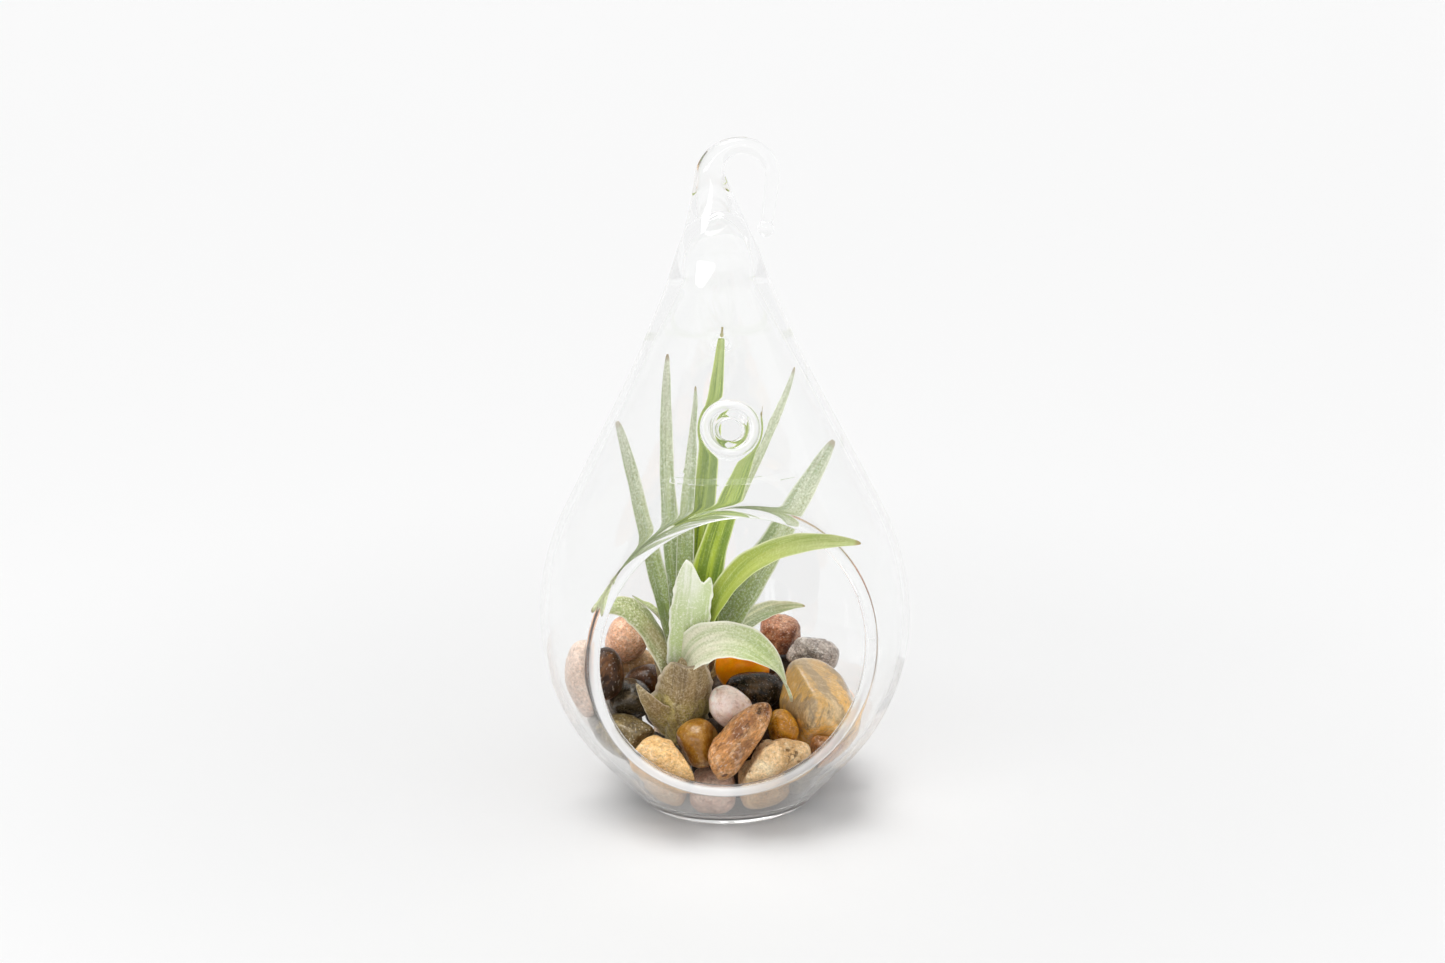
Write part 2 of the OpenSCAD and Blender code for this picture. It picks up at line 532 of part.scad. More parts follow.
glass_globe();
air_plant();
for (k = [0:len(pebbles) - 1]) pebble(k);
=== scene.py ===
"""Dresses the teardrop terrarium: blown glass, an air plant, river pebbles and a pale studio.

Every new piece is a surface worked out as whole arrays: a function of two parameters on a grid.
"""

import math
from collections import namedtuple

import bpy
import numpy as np
from bpy.props import FloatProperty, FloatVectorProperty, IntProperty, PointerProperty
from mathutils import Matrix, Vector


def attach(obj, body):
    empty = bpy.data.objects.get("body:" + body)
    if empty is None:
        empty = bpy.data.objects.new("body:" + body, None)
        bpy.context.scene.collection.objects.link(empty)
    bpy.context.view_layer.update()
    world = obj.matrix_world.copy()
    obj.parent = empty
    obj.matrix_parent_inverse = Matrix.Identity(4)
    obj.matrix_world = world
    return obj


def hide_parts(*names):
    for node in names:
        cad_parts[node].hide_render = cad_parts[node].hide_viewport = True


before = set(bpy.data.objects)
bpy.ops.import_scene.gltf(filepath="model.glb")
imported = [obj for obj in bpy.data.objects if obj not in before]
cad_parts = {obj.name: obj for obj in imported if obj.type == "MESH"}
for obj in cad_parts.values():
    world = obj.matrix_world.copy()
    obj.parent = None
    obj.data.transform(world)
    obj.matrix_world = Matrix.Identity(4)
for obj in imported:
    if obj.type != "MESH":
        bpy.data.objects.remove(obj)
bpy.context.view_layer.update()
MM = 0.001

bl_info = {
    "name": "Teardrop terrarium",
    "version": (1, 0, 0),
    "blender": (4, 5, 0),
    "location": "3D View > Sidebar > Terrarium",
    "description": "Builds a blown glass teardrop with pebbles and an air plant",
    "category": "Add Mesh",
}


# Settings


class GlassSettings(bpy.types.PropertyGroup):
    """Sizes and tint of the blown glass."""

    globe_d: FloatProperty(
        name="Globe diameter", description="Widest outside diameter, in mm",
        default=100.0, min=60.0, max=160.0)
    base_d: FloatProperty(
        name="Base diameter", description="Diameter of the flat base, in mm",
        default=46.0, min=30.0, max=70.0)
    wall: FloatProperty(
        name="Wall", description="Thickness of the glass wall, in mm", default=2.0, min=1.0, max=4.0)
    mouth_d: FloatProperty(
        name="Mouth diameter", description="Diameter along the middle of the lip, in mm",
        default=72.0, min=50.0, max=76.0)
    lip_d: FloatProperty(
        name="Lip thickness", description="Thickness of the fire-rounded lip, in mm",
        default=3.3, min=2.0, max=5.0)
    ripple: FloatProperty(
        name="Ripple", description="Depth of the slow waves of hand-blown glass, in mm",
        default=0.1, min=0.0, max=0.4)
    # Painted highlight: white painted on the fire-rounded lip and on the front vent's ring
    milk: FloatProperty(
        name="Milk", description="Whiteness of the lip and of the front vent's ring",
        default=0.85, min=0.0, max=0.95)
    # Painted light: white painted on the lowest part of the wall for the light from the pale floor below, up
    # to the height set next
    painted_bounce_light: FloatProperty(
        name="Bloom", description="Whiteness of the dust on the lowest part of the wall",
        default=0.1, min=0.0, max=0.5)
    painted_bounce_light_top: FloatProperty(
        name="Bloom height", description="Height up to which the dust reaches, in mm",
        default=36.0, min=10.0, max=60.0)
    tint: FloatVectorProperty(
        name="Tint", description="Colour of the clear glass", subtype="COLOR", size=4,
        default=(0.995, 0.998, 0.996, 1.0), min=0.0, max=1.0)
    columns: IntProperty(name="Columns", description="Steps round the globe", default=160, min=48, max=256)


class PlantSettings(bpy.types.PropertyGroup):
    """Sizes and colours of the air plant."""

    leaf_t: FloatProperty(
        name="Leaf thickness", description="Thickness of a leaf at its middle, in mm",
        default=0.9, min=0.4, max=2.0)
    breadth: FloatProperty(
        name="Leaf breadth", description="Width of every leaf against the plant as found",
        default=1.0, min=0.6, max=1.2)
    green: FloatVectorProperty(
        name="Green", description="Colour of the youngest leaf", subtype="COLOR", size=4,
        default=(0.4, 0.47, 0.06, 1.0), min=0.0, max=1.0)
    silver: FloatVectorProperty(
        name="Silver", description="Colour of the scales on the outer leaves", subtype="COLOR", size=4,
        default=(0.62, 0.65, 0.53, 1.0), min=0.0, max=1.0)
    sheath: FloatVectorProperty(
        name="Sheath", description="Colour of the dry leaf bases", subtype="COLOR", size=4,
        default=(0.27, 0.18, 0.06, 1.0), min=0.0, max=1.0)


class PebbleSettings(bpy.types.PropertyGroup):
    """How finely the pebbles are worked."""

    rows: IntProperty(name="Rows", description="Rings of corners on a pebble", default=44, min=12, max=96)
    gap: FloatProperty(
        name="Gap", description="Gap between neighbours, in mm", default=0.2, min=0.05, max=1.0)


class StageSettings(bpy.types.PropertyGroup):
    """Floor, light and camera."""

    floor: FloatVectorProperty(
        name="Floor", description="Colour of the floor", subtype="COLOR", size=4,
        default=(0.905, 0.905, 0.905, 1.0), min=0.0, max=1.0)
    lens: FloatProperty(
        name="Lens", description="Focal length, in mm on a 36 mm wide sensor",
        default=83.7, min=20.0, max=200.0)
    distance: FloatProperty(
        name="Camera distance", description="From the camera to its aim", default=0.9, unit="LENGTH")
    elevation: FloatProperty(
        name="Camera elevation", description="Height of the camera over its aim",
        default=math.radians(17.99), subtype="ANGLE")
    roll: FloatProperty(
        name="Camera roll", description="Turn of the camera about its view",
        default=math.radians(-1.1), subtype="ANGLE")


# Mesh helpers


def unit(v):
    """Vectors scaled to a length of one."""
    return v / np.maximum(np.linalg.norm(v, axis=-1, keepdims=True), 1e-12)


def add_mesh(name, points, quads, material, tris=None, attributes=None):
    """Adds one object at the origin from points in millimetres, quads and triangles. Points that no face
    uses are dropped. Attributes are arrays with one row a point."""
    quads = np.asarray(quads).reshape(-1, 4)
    tris = np.zeros((0, 3), dtype=int) if tris is None else np.asarray(tris).reshape(-1, 3)
    flat = np.concatenate([quads.ravel(), tris.ravel()])
    sizes = np.concatenate([np.full(len(quads), 4), np.full(len(tris), 3)])
    used = np.unique(flat)
    remap = np.zeros(len(points), dtype=np.int64)
    remap[used] = np.arange(len(used))
    mesh = bpy.data.meshes.new(name)
    mesh.vertices.add(len(used))
    mesh.vertices.foreach_set("co", (np.asarray(points)[used] * MM).astype(np.float32).ravel())
    mesh.loops.add(len(flat))
    mesh.loops.foreach_set("vertex_index", remap[flat].astype(np.int32))
    mesh.polygons.add(len(sizes))
    starts = np.concatenate([[0], np.cumsum(sizes)[:-1]])
    mesh.polygons.foreach_set("loop_start", starts.astype(np.int32))
    mesh.polygons.foreach_set("use_smooth", np.ones(len(sizes), dtype=bool))
    for label, values in (attributes or {}).items():
        values = np.asarray(values, dtype=np.float32)[used]
        wide = values.ndim > 1
        layer = mesh.attributes.new(label, "FLOAT_VECTOR" if wide else "FLOAT", "POINT")
        layer.data.foreach_set("vector" if wide else "value", values.ravel())
    mesh.update()
    mesh.validate()
    mesh.materials.append(material)
    obj = bpy.data.objects.new(name, mesh)
    bpy.context.collection.objects.link(obj)
    return obj


def band(ring, other, flip=False):
    """Quads from one closed ring to another with as many points."""
    quads = np.stack([ring, np.roll(ring, -1), np.roll(other, -1), other], axis=-1)
    return quads[:, ::-1] if flip else quads


def strip(rows, columns, offset=0, flip=False):
    """Quads between rows of a grid that closes round its columns."""
    i, j = np.meshgrid(np.arange(rows - 1) * columns, np.arange(columns), indexing="ij")
    k = (j + 1) % columns
    quads = np.stack([i + j, i + k, i + columns + k, i + columns + j], axis=-1).reshape(-1, 4) + offset
    return quads[:, ::-1] if flip else quads


def fan(centre, ring, flip=False):
    """Triangles from one point to a closed ring."""
    tris = np.stack([np.full(len(ring), centre), ring, np.roll(ring, -1)], axis=-1)
    return tris[:, ::-1] if flip else tris


def end_fans(rows, columns):
    """Triangles that close both ends of a grid. Its two end points follow its last row."""
    n, ring = rows * columns, np.arange(columns)
    return np.concatenate([fan(n, ring, flip=True), fan(n + 1, n - columns + ring)])


def seam(ring):
    """Closes a flat tube's last ring, given in order round it, by joining each point to the one across."""
    n = len(ring)
    j = np.arange(1, n // 2 - 1)
    quads = np.stack([ring[j], ring[j + 1], ring[n - j - 1], ring[n - j]], axis=-1)
    ends = [(ring[0], ring[1], ring[n - 1]), (ring[n // 2 - 1], ring[n // 2], ring[n // 2 + 1])]
    return quads, np.array(ends)


# Glass


class GlassForm:
    """Outline of the globe. Its side is arcs and straight lines joined at equal slopes:
    a straight foot, an arc up to the belly, a wider arc above it, a straight shoulder,
    and a hollow arc that sweeps into the neck. Sizes are in millimetres."""

    belly_z = 52.0
    upper_r = 68.0
    foot_a = math.radians(42)
    shoulder_a = math.radians(26.5)
    shoulder_len = 38.0
    neck_r = 258.0
    neck_z = 154.0
    floor_t = 2.5
    # Growth of the wall's thickness above the shoulder, and the height over which it grows
    thicker, thicker_over = 1.1, 34
    # Where the mouth's axis crosses the globe's middle plane, its turn to the right and its upward tilt
    mouth_place = (-4.8, 0, 40)
    mouth_turn = math.radians(11.5)
    mouth_tilt = math.radians(21.5)

    def __init__(self, s):
        self.wall = s.wall
        self.ripple = s.ripple
        self.globe_r, self.base_r = s.globe_d / 2, s.base_d / 2
        c, n = math.cos(self.foot_a), math.sin(self.foot_a)
        self.lower_r = (self.belly_z * n - (self.globe_r - self.base_r) * c) / (1 - c)
        c, n = math.cos(self.shoulder_a), math.sin(self.shoulder_a)
        self.start = (self.globe_r - self.upper_r * (1 - c), self.belly_z + self.upper_r * n)
        self.end = (self.start[0] - self.shoulder_len * n, self.start[1] + self.shoulder_len * c)
        self.neck_c = (self.end[0] + self.neck_r * c, self.end[1] + self.neck_r * n)
        self.foot_z = self.belly_z - self.lower_r * math.sin(self.foot_a)

    def radius(self, z):
        """Outside radius and slope of the side from upright at heights z."""
        z = np.asarray(z, dtype=float)

        def arc(r):
            return np.sqrt(np.maximum(r * r - (z - self.belly_z) ** 2, 0))

        def angle(sine):
            return np.arcsin(np.clip(sine, -1, 1))

        foot = self.base_r + z * math.tan(self.foot_a)
        low = self.globe_r - self.lower_r + arc(self.lower_r)
        high = self.globe_r - self.upper_r + arc(self.upper_r)
        side = self.start[0] - (z - self.start[1]) * math.tan(self.shoulder_a)
        neck = self.neck_c[0] - np.sqrt(self.neck_r**2 - (z - self.neck_c[1]) ** 2)
        where = [z < self.foot_z, z < self.belly_z, z < self.start[1], z < self.end[1]]
        r = np.select(where, [foot, low, high, side], neck)
        slopes = [
            np.full_like(z, -self.foot_a), angle((z - self.belly_z) / self.lower_r),
            angle((z - self.belly_z) / self.upper_r), np.full_like(z, self.shoulder_a),
        ]
        slope = np.select(where, slopes, angle((self.neck_c[1] - z) / self.neck_r))
        return r, slope

    def depth(self, z):
        """Thickness of the wall at heights z: even up to the neck, then growing with the height's square."""
        return self.wall * (1 + self.thicker * np.clip((z - self.end[1]) / self.thicker_over, 0, 1) ** 2)

    def point(self, turn, z, into):
        """Point on the body at a turn about Z, an outside height z and a depth into the wall. Slow waves, a
        sum of three sines of turn and height, move it outwards except near the base and the neck."""
        r, slope = self.radius(z)
        wave = np.sin(3 * turn + 0.11 * z) + np.sin(2 * turn - 0.07 * z + 1.3)
        wave = wave + 0.6 * np.sin(5 * turn + 0.19 * z + 2.1)
        fade = np.clip((z - 4) / 16, 0, 1) * np.clip((150 - z) / 20, 0, 1)
        into = into + self.ripple * (wave * fade * 0.4 - fade)
        across = r - into * np.cos(slope)
        return np.stack([across * np.cos(turn), across * np.sin(turn), z - into * np.sin(slope)], axis=-1)


def mouth_rim(form, s, count=720):
    """Turn and outside height of the line along which a tilted cylinder meets the middle of the wall. The
    meeting point on each of the cylinder's lines is found by halving."""
    turn, tilt = form.mouth_turn, form.mouth_tilt
    side = np.array([math.cos(turn), math.sin(turn), 0])
    up = np.array([-math.sin(turn) * math.sin(tilt), math.cos(turn) * math.sin(tilt), math.cos(tilt)])
    out = np.array([math.sin(turn) * math.cos(tilt), -math.cos(turn) * math.cos(tilt), math.sin(tilt)])
    a = np.linspace(0, 2 * np.pi, count, endpoint=False)[:, None]
    start = np.array(form.mouth_place) + s.mouth_d / 2 * (np.cos(a) * side + np.sin(a) * up)
    zs = np.linspace(1, 150, 3000)
    r, slope = form.radius(zs)
    mid_r, mid_z = r - form.wall / 2 * np.cos(slope), zs - form.wall / 2 * np.sin(slope)
    low, high = np.zeros(count), np.full(count, 2 * form.globe_r)
    for _ in range(40):
        mid = (low + high) / 2
        p = start + mid[:, None] * out
        inside = np.hypot(p[:, 0], p[:, 1]) < np.interp(p[:, 2], mid_z, mid_r)
        low, high = np.where(inside, mid, low), np.where(inside, high, mid)
    p = start + low[:, None] * out
    return np.arctan2(p[:, 1], p[:, 0]), np.interp(p[:, 2], mid_z, zs)


def ring_rim(form, turn, z, radius, count=360):
    """Turn and outside height of a round ring of a radius about a place on the side."""
    a = np.linspace(0, 2 * np.pi, count, endpoint=False)
    slope = form.radius(np.array([z]))[1][0]
    heights = z + radius * np.sin(a) * np.cos(slope)
    return turn + radius * np.cos(a) / (form.radius(heights)[0] - form.wall / 2), heights


def bead(radius, wall, reach):
    """Section of a fire-rounded lip: distance from its middle line away from the hole, height over the
    middle of the wall and painted whiteness, a painted highlight on the bead's edge and outer half. It runs
    along the outside, round a circle and back along the inside."""
    a = np.radians(np.linspace(62, 298, 19))
    circle = np.stack([radius * np.cos(a), radius * np.sin(a)], axis=-1)
    far = np.array([reach, reach * 0.75, reach * 0.55])
    blend = np.array([0.0, 0.12, 0.38])
    top = np.stack([far, wall / 2 + (circle[0, 1] - wall / 2) * blend], axis=-1)
    section = np.concatenate([top, circle, top[::-1] * [1, -1]])
    # Painted highlight: white on the bead's edge towards the hole and on its outer half
    front = np.clip((0.35 - circle[:, 0]) / 0.5, 0, 1) * np.clip((circle[:, 1] + 0.5) / 0.8, 0, 1)
    milk = np.concatenate([[0, 0, 0], front, [0, 0, 0]])
    return np.column_stack([section, milk])


# Section of a vent's ring from its far outside to its far inside: distance from the hole's line, height
VENT_SECTION = np.array([
    (4.2, 1.0), (2.8, 1.0), (2.1, 1.03), (1.65, 1.15), (1.35, 1.4), (1.0, 1.75), (0.5, 1.95),
    (0.0, 1.95), (-0.45, 1.7), (-0.75, 1.35), (-1.0, 1.05), (-1.3, 0.9), (-1.8, 0.84),
    (-2.4, 0.76), (-2.8, 0.55), (-3.02, 0.25), (-3.06, -0.1), (-2.95, -0.45), (-2.7, -0.7),
    (-2.2, -0.88), (-1.6, -0.96), (-0.6, -1.0), (0.8, -1.0), (2.4, -1.0), (4.2, -1.0),
])

# Front and back vent: turn in degrees, height, radius of the ring's line, room cleared round it, and the
# stretch, ridge and painted whiteness of its section, a painted highlight on the front vent's ring
Vent = namedtuple("Vent", "turn z radius room stretch ridge milk")
VENTS = (Vent(-85, 113.0, 5.9, 6.5, 1, 1, 0.9), Vent(89, 124.0, 4.4, 5.4, 0.78, 0.12, 0))


def vent_section(vent):
    """Section of a vent's ring, stretched along the wall and with its ridge lowered, with painted white on
    the ridge as a painted highlight.
    """
    d, h = VENT_SECTION.T
    high = np.where(h > 1, 1 + (h - 1) * vent.ridge, h)
    return np.column_stack([d * vent.stretch, high, vent.milk * np.clip((h - 1.2) / 0.4, 0, 1)])


def hook_path(form):
    """Middle, side direction and radius along the hook, and its last point. The hook leans out of the neck,
    bends over the crown and ends in a leg with a ball. Its radius falls from the neck's to the rod's with a
    power of the length, then evenly to the end's, and follows a circle at the ball."""
    rod, end, ball = 2.2, 1.55, 2.25
    bend_r = 8.2
    crown = np.array([6.4, 0.0, 173.4])
    ball_z = 159.4
    leg_lean = math.radians(8)
    ball_last = 84
    rise = crown[2] - form.neck_z
    reach = math.hypot(crown[0], rise)
    lean = math.atan2(crown[0], rise) - math.asin(bend_r / reach)
    lean_len = math.sqrt(reach**2 - bend_r**2)
    turn_end = math.pi + leg_lean
    bend_len = bend_r * (turn_end - lean)
    leg_len = (crown[2] - bend_r * math.sin(leg_lean) - ball_z) / math.cos(leg_lean)
    total = lean_len + bend_len + leg_len
    crown_len = lean_len + bend_r * (math.pi / 2 - lean)
    s = np.concatenate([
        np.linspace(0.8, lean_len, 22), lean_len + bend_len * np.linspace(0, 1, 40)[1:],
        lean_len + bend_len + (leg_len - ball) * np.linspace(0, 1, 12)[1:],
        total + ball * np.sin(np.radians(np.linspace(-80, ball_last, 18))),
    ])
    heading = np.where(s < lean_len, lean, np.minimum(turn_end, lean + (s - lean_len) / bend_r))
    bend_x, bend_z = crown[0] - bend_r * np.cos(heading), crown[2] + bend_r * np.sin(heading)
    bend = np.stack([bend_x, 0 * s, bend_z], axis=-1)
    past = np.maximum(0, s - lean_len - bend_len)[:, None]
    along = np.stack([np.sin(heading), 0 * s, np.cos(heading)], axis=-1)
    straight = np.array([0, 0, form.neck_z]) + s[:, None] * along
    middle = np.where((s < lean_len)[:, None], straight, bend + past * along)
    neck = form.radius(np.array([form.neck_z]))[0][0]
    thick = rod + (neck - rod) * np.clip(1 - s / crown_len, 0, 1) ** 1.65
    thin = rod + (end - rod) * (s - crown_len) / (total - crown_len)
    r = np.where(s < crown_len, thick, np.where(s > total, 0, thin))
    r = np.maximum(r, np.sqrt(np.maximum(0, ball**2 - (s - total) ** 2)))
    tilt = heading * np.clip(s / 6, 0, 1)
    side = np.stack([np.cos(tilt), 0 * s, -np.sin(tilt)], axis=-1)
    tip = middle[-1] + along[-1] * (ball - ball * math.sin(math.radians(ball_last)))
    return middle, side, r, tip


class GlassSkin:
    """Collects the points and faces of the whole blown piece. Outer and inner skins are rings round Z on
    one chart of turn and height, and the holes, base, floor, tip and hook are joined to them."""

    def __init__(self, form, s):
        self.form, self.s, self.n = form, s, s.columns
        self.turns = np.linspace(-np.pi, np.pi, self.n, endpoint=False) - np.pi / 2 + np.pi / self.n
        zs = [1.0]
        while zs[-1] < form.neck_z - 1:
            slope = form.radius(np.array([zs[-1]]))[1][0]
            zs.append(zs[-1] + 1.6 * math.cos(slope))
        self.zs = np.array(zs[:-1] + [form.neck_z - 0.4])
        self.rows = len(zs)
        # The inner skin starts a little above the floor and ends below the hollow's tip
        self.lowest = int(np.searchsorted(self.zs, 4.5))
        self.highest = int(np.searchsorted(self.zs, 146.0))
        t, z = np.meshgrid(self.turns, self.zs)
        self.points, self.milk, self.quads, self.tris = [], [], [], []
        self.count = 0
        self.add(form.point(t, z, 0 * z))
        self.add(form.point(t, z, form.depth(z)))
        self.keep = np.ones((self.rows - 1, self.n), dtype=bool)

    def add(self, p, white=0.0):
        """Adds points with their painted whiteness and gives the first one's number."""
        self.points.append(np.asarray(p).reshape(-1, 3))
        self.milk.append(np.zeros(len(self.points[-1])) + white)
        self.count += len(self.points[-1])
        return self.count - len(self.points[-1])

    def ring(self, row, inner=False):
        """Numbers of a skin's points at one height."""
        return (self.rows * inner + row) * self.n + np.arange(self.n)

    def cut(self, rim_t, rim_z, room):
        """Leaves a block of the chart out round a hole. Gives the rows, columns and turns of the block's
        edge, in order round it."""
        n, zs, first = self.n, self.zs, self.turns[0]
        middle = (rim_t.min() + rim_t.max()) / 2
        shift = np.round((middle - self.turns.mean()) / (2 * np.pi)) * 2 * np.pi
        step = 2 * np.pi / n
        pad = room / self.form.radius(rim_z)[0].min()
        j0 = int(math.floor((rim_t.min() - pad - shift - first) / step))
        j1 = int(math.ceil((rim_t.max() + pad - shift - first) / step))
        i0 = max(1, int(np.searchsorted(zs, rim_z.min() - room)) - 1)
        i1 = int(np.searchsorted(zs, rim_z.max() + room))
        self.keep[i0:i1, np.arange(j0, j1) % n] = False
        cols, wide, tall = np.arange(j0, j1 + 1), j1 - j0, i1 - i0
        rows = [np.full(wide, i0), np.arange(i0, i1), np.full(wide, i1), np.arange(i1, i0, -1)]
        columns = [cols[:-1], np.full(tall, j1), cols[:0:-1], np.full(tall, j0)]
        loop_i, loop_j = np.concatenate(rows), np.concatenate(columns)
        return loop_i, loop_j, first + loop_j * step + shift

    def hole(self, rim, room, section, near, whiteness):
        """Opens a hole. Rays run from the edge of a block left out of the chart to the hole's rim, over the
        lip's section and back along the inner skin."""
        form = self.form
        rim_t, rim_z = np.unwrap(rim[0]), rim[1]
        ct, cz = (rim_t.min() + rim_t.max()) / 2, (rim_z.min() + rim_z.max()) / 2
        cr = form.radius(np.array([cz]))[0][0]
        loop_i, loop_j, loop_t = self.cut(rim_t, rim_z, room)
        x, y = (loop_t - ct) * cr, self.zs[loop_i] - cz
        angle = np.arctan2(y, x)
        rim_x, rim_y = (rim_t - ct) * cr, rim_z - cz
        rim_a = np.arctan2(rim_y, rim_x)
        order = np.argsort(rim_a)
        rim_d = np.interp(angle, rim_a[order], np.hypot(rim_x, rim_y)[order], period=2 * np.pi)
        edge_d = np.hypot(x, y)
        # True length of one chart unit along each ray, so a lip is as wide at its side as at its top
        real, slope = form.radius(cz + (rim_d + edge_d) / 2 * np.sin(angle))
        scale = np.sqrt((np.cos(angle) * (real / cr)) ** 2 + (np.sin(angle) / np.cos(slope)) ** 2)
        # Stations along a ray: distance from the hole's middle, part of the wall's depth, painted whiteness
        lip = section[0][0] / scale
        fractions = (1 - np.linspace(0, 1, near + 1)[1:] ** 0.8)[:-1]
        wall = [rim_d + lip + (edge_d - rim_d - lip) * f for f in fractions]
        stations = [(away, 0, 0) for away in wall]
        stations += [(rim_d + d / scale, 0.5 - h / form.wall, white) for d, h, white in section]
        stations += [(away, 1, 0) for away in wall[::-1]]
        ring = loop_i * self.n + loop_j % self.n
        back = ring + self.rows * self.n
        for away, part, white in stations:
            ray_t, ray_z = ct + away * np.cos(angle) / cr, cz + away * np.sin(angle)
            skin = form.point(ray_t, ray_z, form.depth(ray_z) * part)
            new = self.add(skin, white * whiteness(ray_t, ray_z)) + np.arange(len(ring))
            self.quads.append(band(ring, new))
            ring = new
        self.quads.append(band(ring, back))

    def lip_white(self, turn, z):
        """Painted highlight on the lip: whitest low down, and weaker on the right of the mouth."""
        low = np.clip((68 - z) / 26, 0, 1)
        return self.s.milk * (0.12 + 0.88 * low) * (1 - 0.4 * np.clip(np.sin(turn + np.pi / 2) * 3, 0, 1))

    def walls(self):
        """Faces of the outer and inner skins, apart from the blocks left out."""
        grid = strip(self.rows, self.n).reshape(self.rows - 1, self.n, 4)
        self.quads.append(grid[self.keep])
        inside = self.keep.copy()
        inside[:self.lowest] = False
        inside[self.highest:] = False
        self.quads.append(grid[inside][:, ::-1] + self.rows * self.n)

    def turn_rings(self, profile):
        """Rings round Z for a list of radius and height pairs."""
        r, h = np.array(profile).T[:, :, None]
        t = self.turns
        return np.stack([r * np.cos(t), r * np.sin(t), h + 0 * t[None, :]], axis=-1)

    def cap(self, rings, pole, edge, inward=False, from_pole=False):
        """Closes a skin with rings between its edge and a pole, listed from the edge or from the pole."""
        first = self.add(rings) + np.arange(self.n)
        pole = self.add([pole])
        last = first + (len(rings) - 1) * self.n
        between = strip(len(rings), self.n, first[0], flip=inward)
        if from_pole:
            self.tris.append(fan(pole, first, flip=not inward))
            self.quads += [between, band(last, edge, flip=inward)]
        else:
            self.quads += [band(edge, first, flip=inward), between]
            self.tris.append(fan(pole, last, flip=inward))

    def base(self):
        """A faint dome underneath, which falls with the fourth power of the radius, and a rounded edge."""
        form, corner, dome = self.form, 2.4, 0.45
        bend = math.pi / 2 - form.foot_a
        flat = form.base_r - corner * math.tan(bend / 2)
        below = [(r, dome * (1 - (r / flat) ** 4)) for r in (2, 6, 10, 14, 17, 19.5)]
        for a in np.linspace(0, bend, 8)[:-1]:
            below.append((flat + corner * math.sin(a), corner * (1 - math.cos(a))))
        self.cap(self.turn_rings(below), (0, 0, dome), self.ring(0), from_pole=True)

    def inner_edge(self, row):
        """Radius and height of the inner skin at a row."""
        z = self.zs[row:row + 1]
        place = self.form.point(np.zeros(1), z, self.form.depth(z))[0]
        return place[0], place[2]

    def floor(self):
        """Floor of the hollow. It rises a little towards its middle with the square of the radius, and
        a quadratic curve leads it into the wall."""
        flat, dome, corner = 18, 0.5, 4.0 * 0.55
        level = self.form.floor_t
        wall_r, wall_z = self.inner_edge(self.lowest)
        floor = [(r, level + dome * (1 - (r / flat) ** 2)) for r in (2, 6, 10, 14, flat)]
        for u in np.linspace(0, 1, 8)[1:-1]:
            v = 1 - u
            floor.append((
                v**2 * flat + 2 * u * v * (wall_r - corner) + u * u * wall_r,
                v**2 * level + 2 * u * v * level + u * u * wall_z,
            ))
        edge = self.ring(self.lowest, inner=True)
        self.cap(self.turn_rings(floor), (0, 0, level + dome), edge, inward=True, from_pole=True)

    def tip(self):
        """Tip of the hollow: a quarter turn drawn out upwards, with the cosine's power for its radius."""
        wall_r, wall_z = self.inner_edge(self.highest)
        rise = 1.9 * wall_r
        turns = np.linspace(0, math.pi / 2, 16)[1:-1]
        tip = [(wall_r * math.cos(a) ** 1.25, wall_z + rise * math.sin(a)) for a in turns]
        edge = self.ring(self.highest, inner=True)
        self.cap(self.turn_rings(tip), (0, 0, wall_z + rise), edge, inward=True)

    def hook(self):
        """Circles carried along the hook's path."""
        middle, side, r, end = hook_path(self.form)
        c, n = np.cos(self.turns)[None, :, None], np.sin(self.turns)[None, :, None]
        circle = c * side[:, None] + n * np.array([0, 1, 0])
        self.cap(middle[:, None] + r[:, None, None] * circle, end, self.ring(self.rows - 1))


def globe_mesh(form, s):
    """The whole blown piece, with the painted whiteness of each point as its mark: painted highlight on the
    lip and the front vent, painted light low down.
    """
    skin = GlassSkin(form, s)
    mouth_room, lip_reach = 7.0, 2.3
    skin.hole(mouth_rim(form, s), mouth_room, bead(s.lip_d / 2, form.wall, lip_reach), 10, skin.lip_white)
    for vent in VENTS:
        rim = ring_rim(form, math.radians(vent.turn), vent.z, vent.radius)
        skin.hole(rim, vent.room, vent_section(vent), 3, lambda turn, z: s.milk)
    skin.walls()
    skin.base()
    skin.floor()
    skin.tip()
    skin.hook()
    points, milk = np.concatenate(skin.points), np.concatenate(skin.milk)
    # Painted light: white on the lowest part of the wall, for the light from the pale floor below
    low = np.clip((s.painted_bounce_light_top - points[:, 2]) / s.painted_bounce_light_top, 0, 1) * np.clip(points[:, 2] / 5, 0.3, 1)
    milk = np.maximum(milk, s.painted_bounce_light * np.sqrt(low))
    return points, np.concatenate(skin.quads), np.concatenate(skin.tris), {"milk": milk}


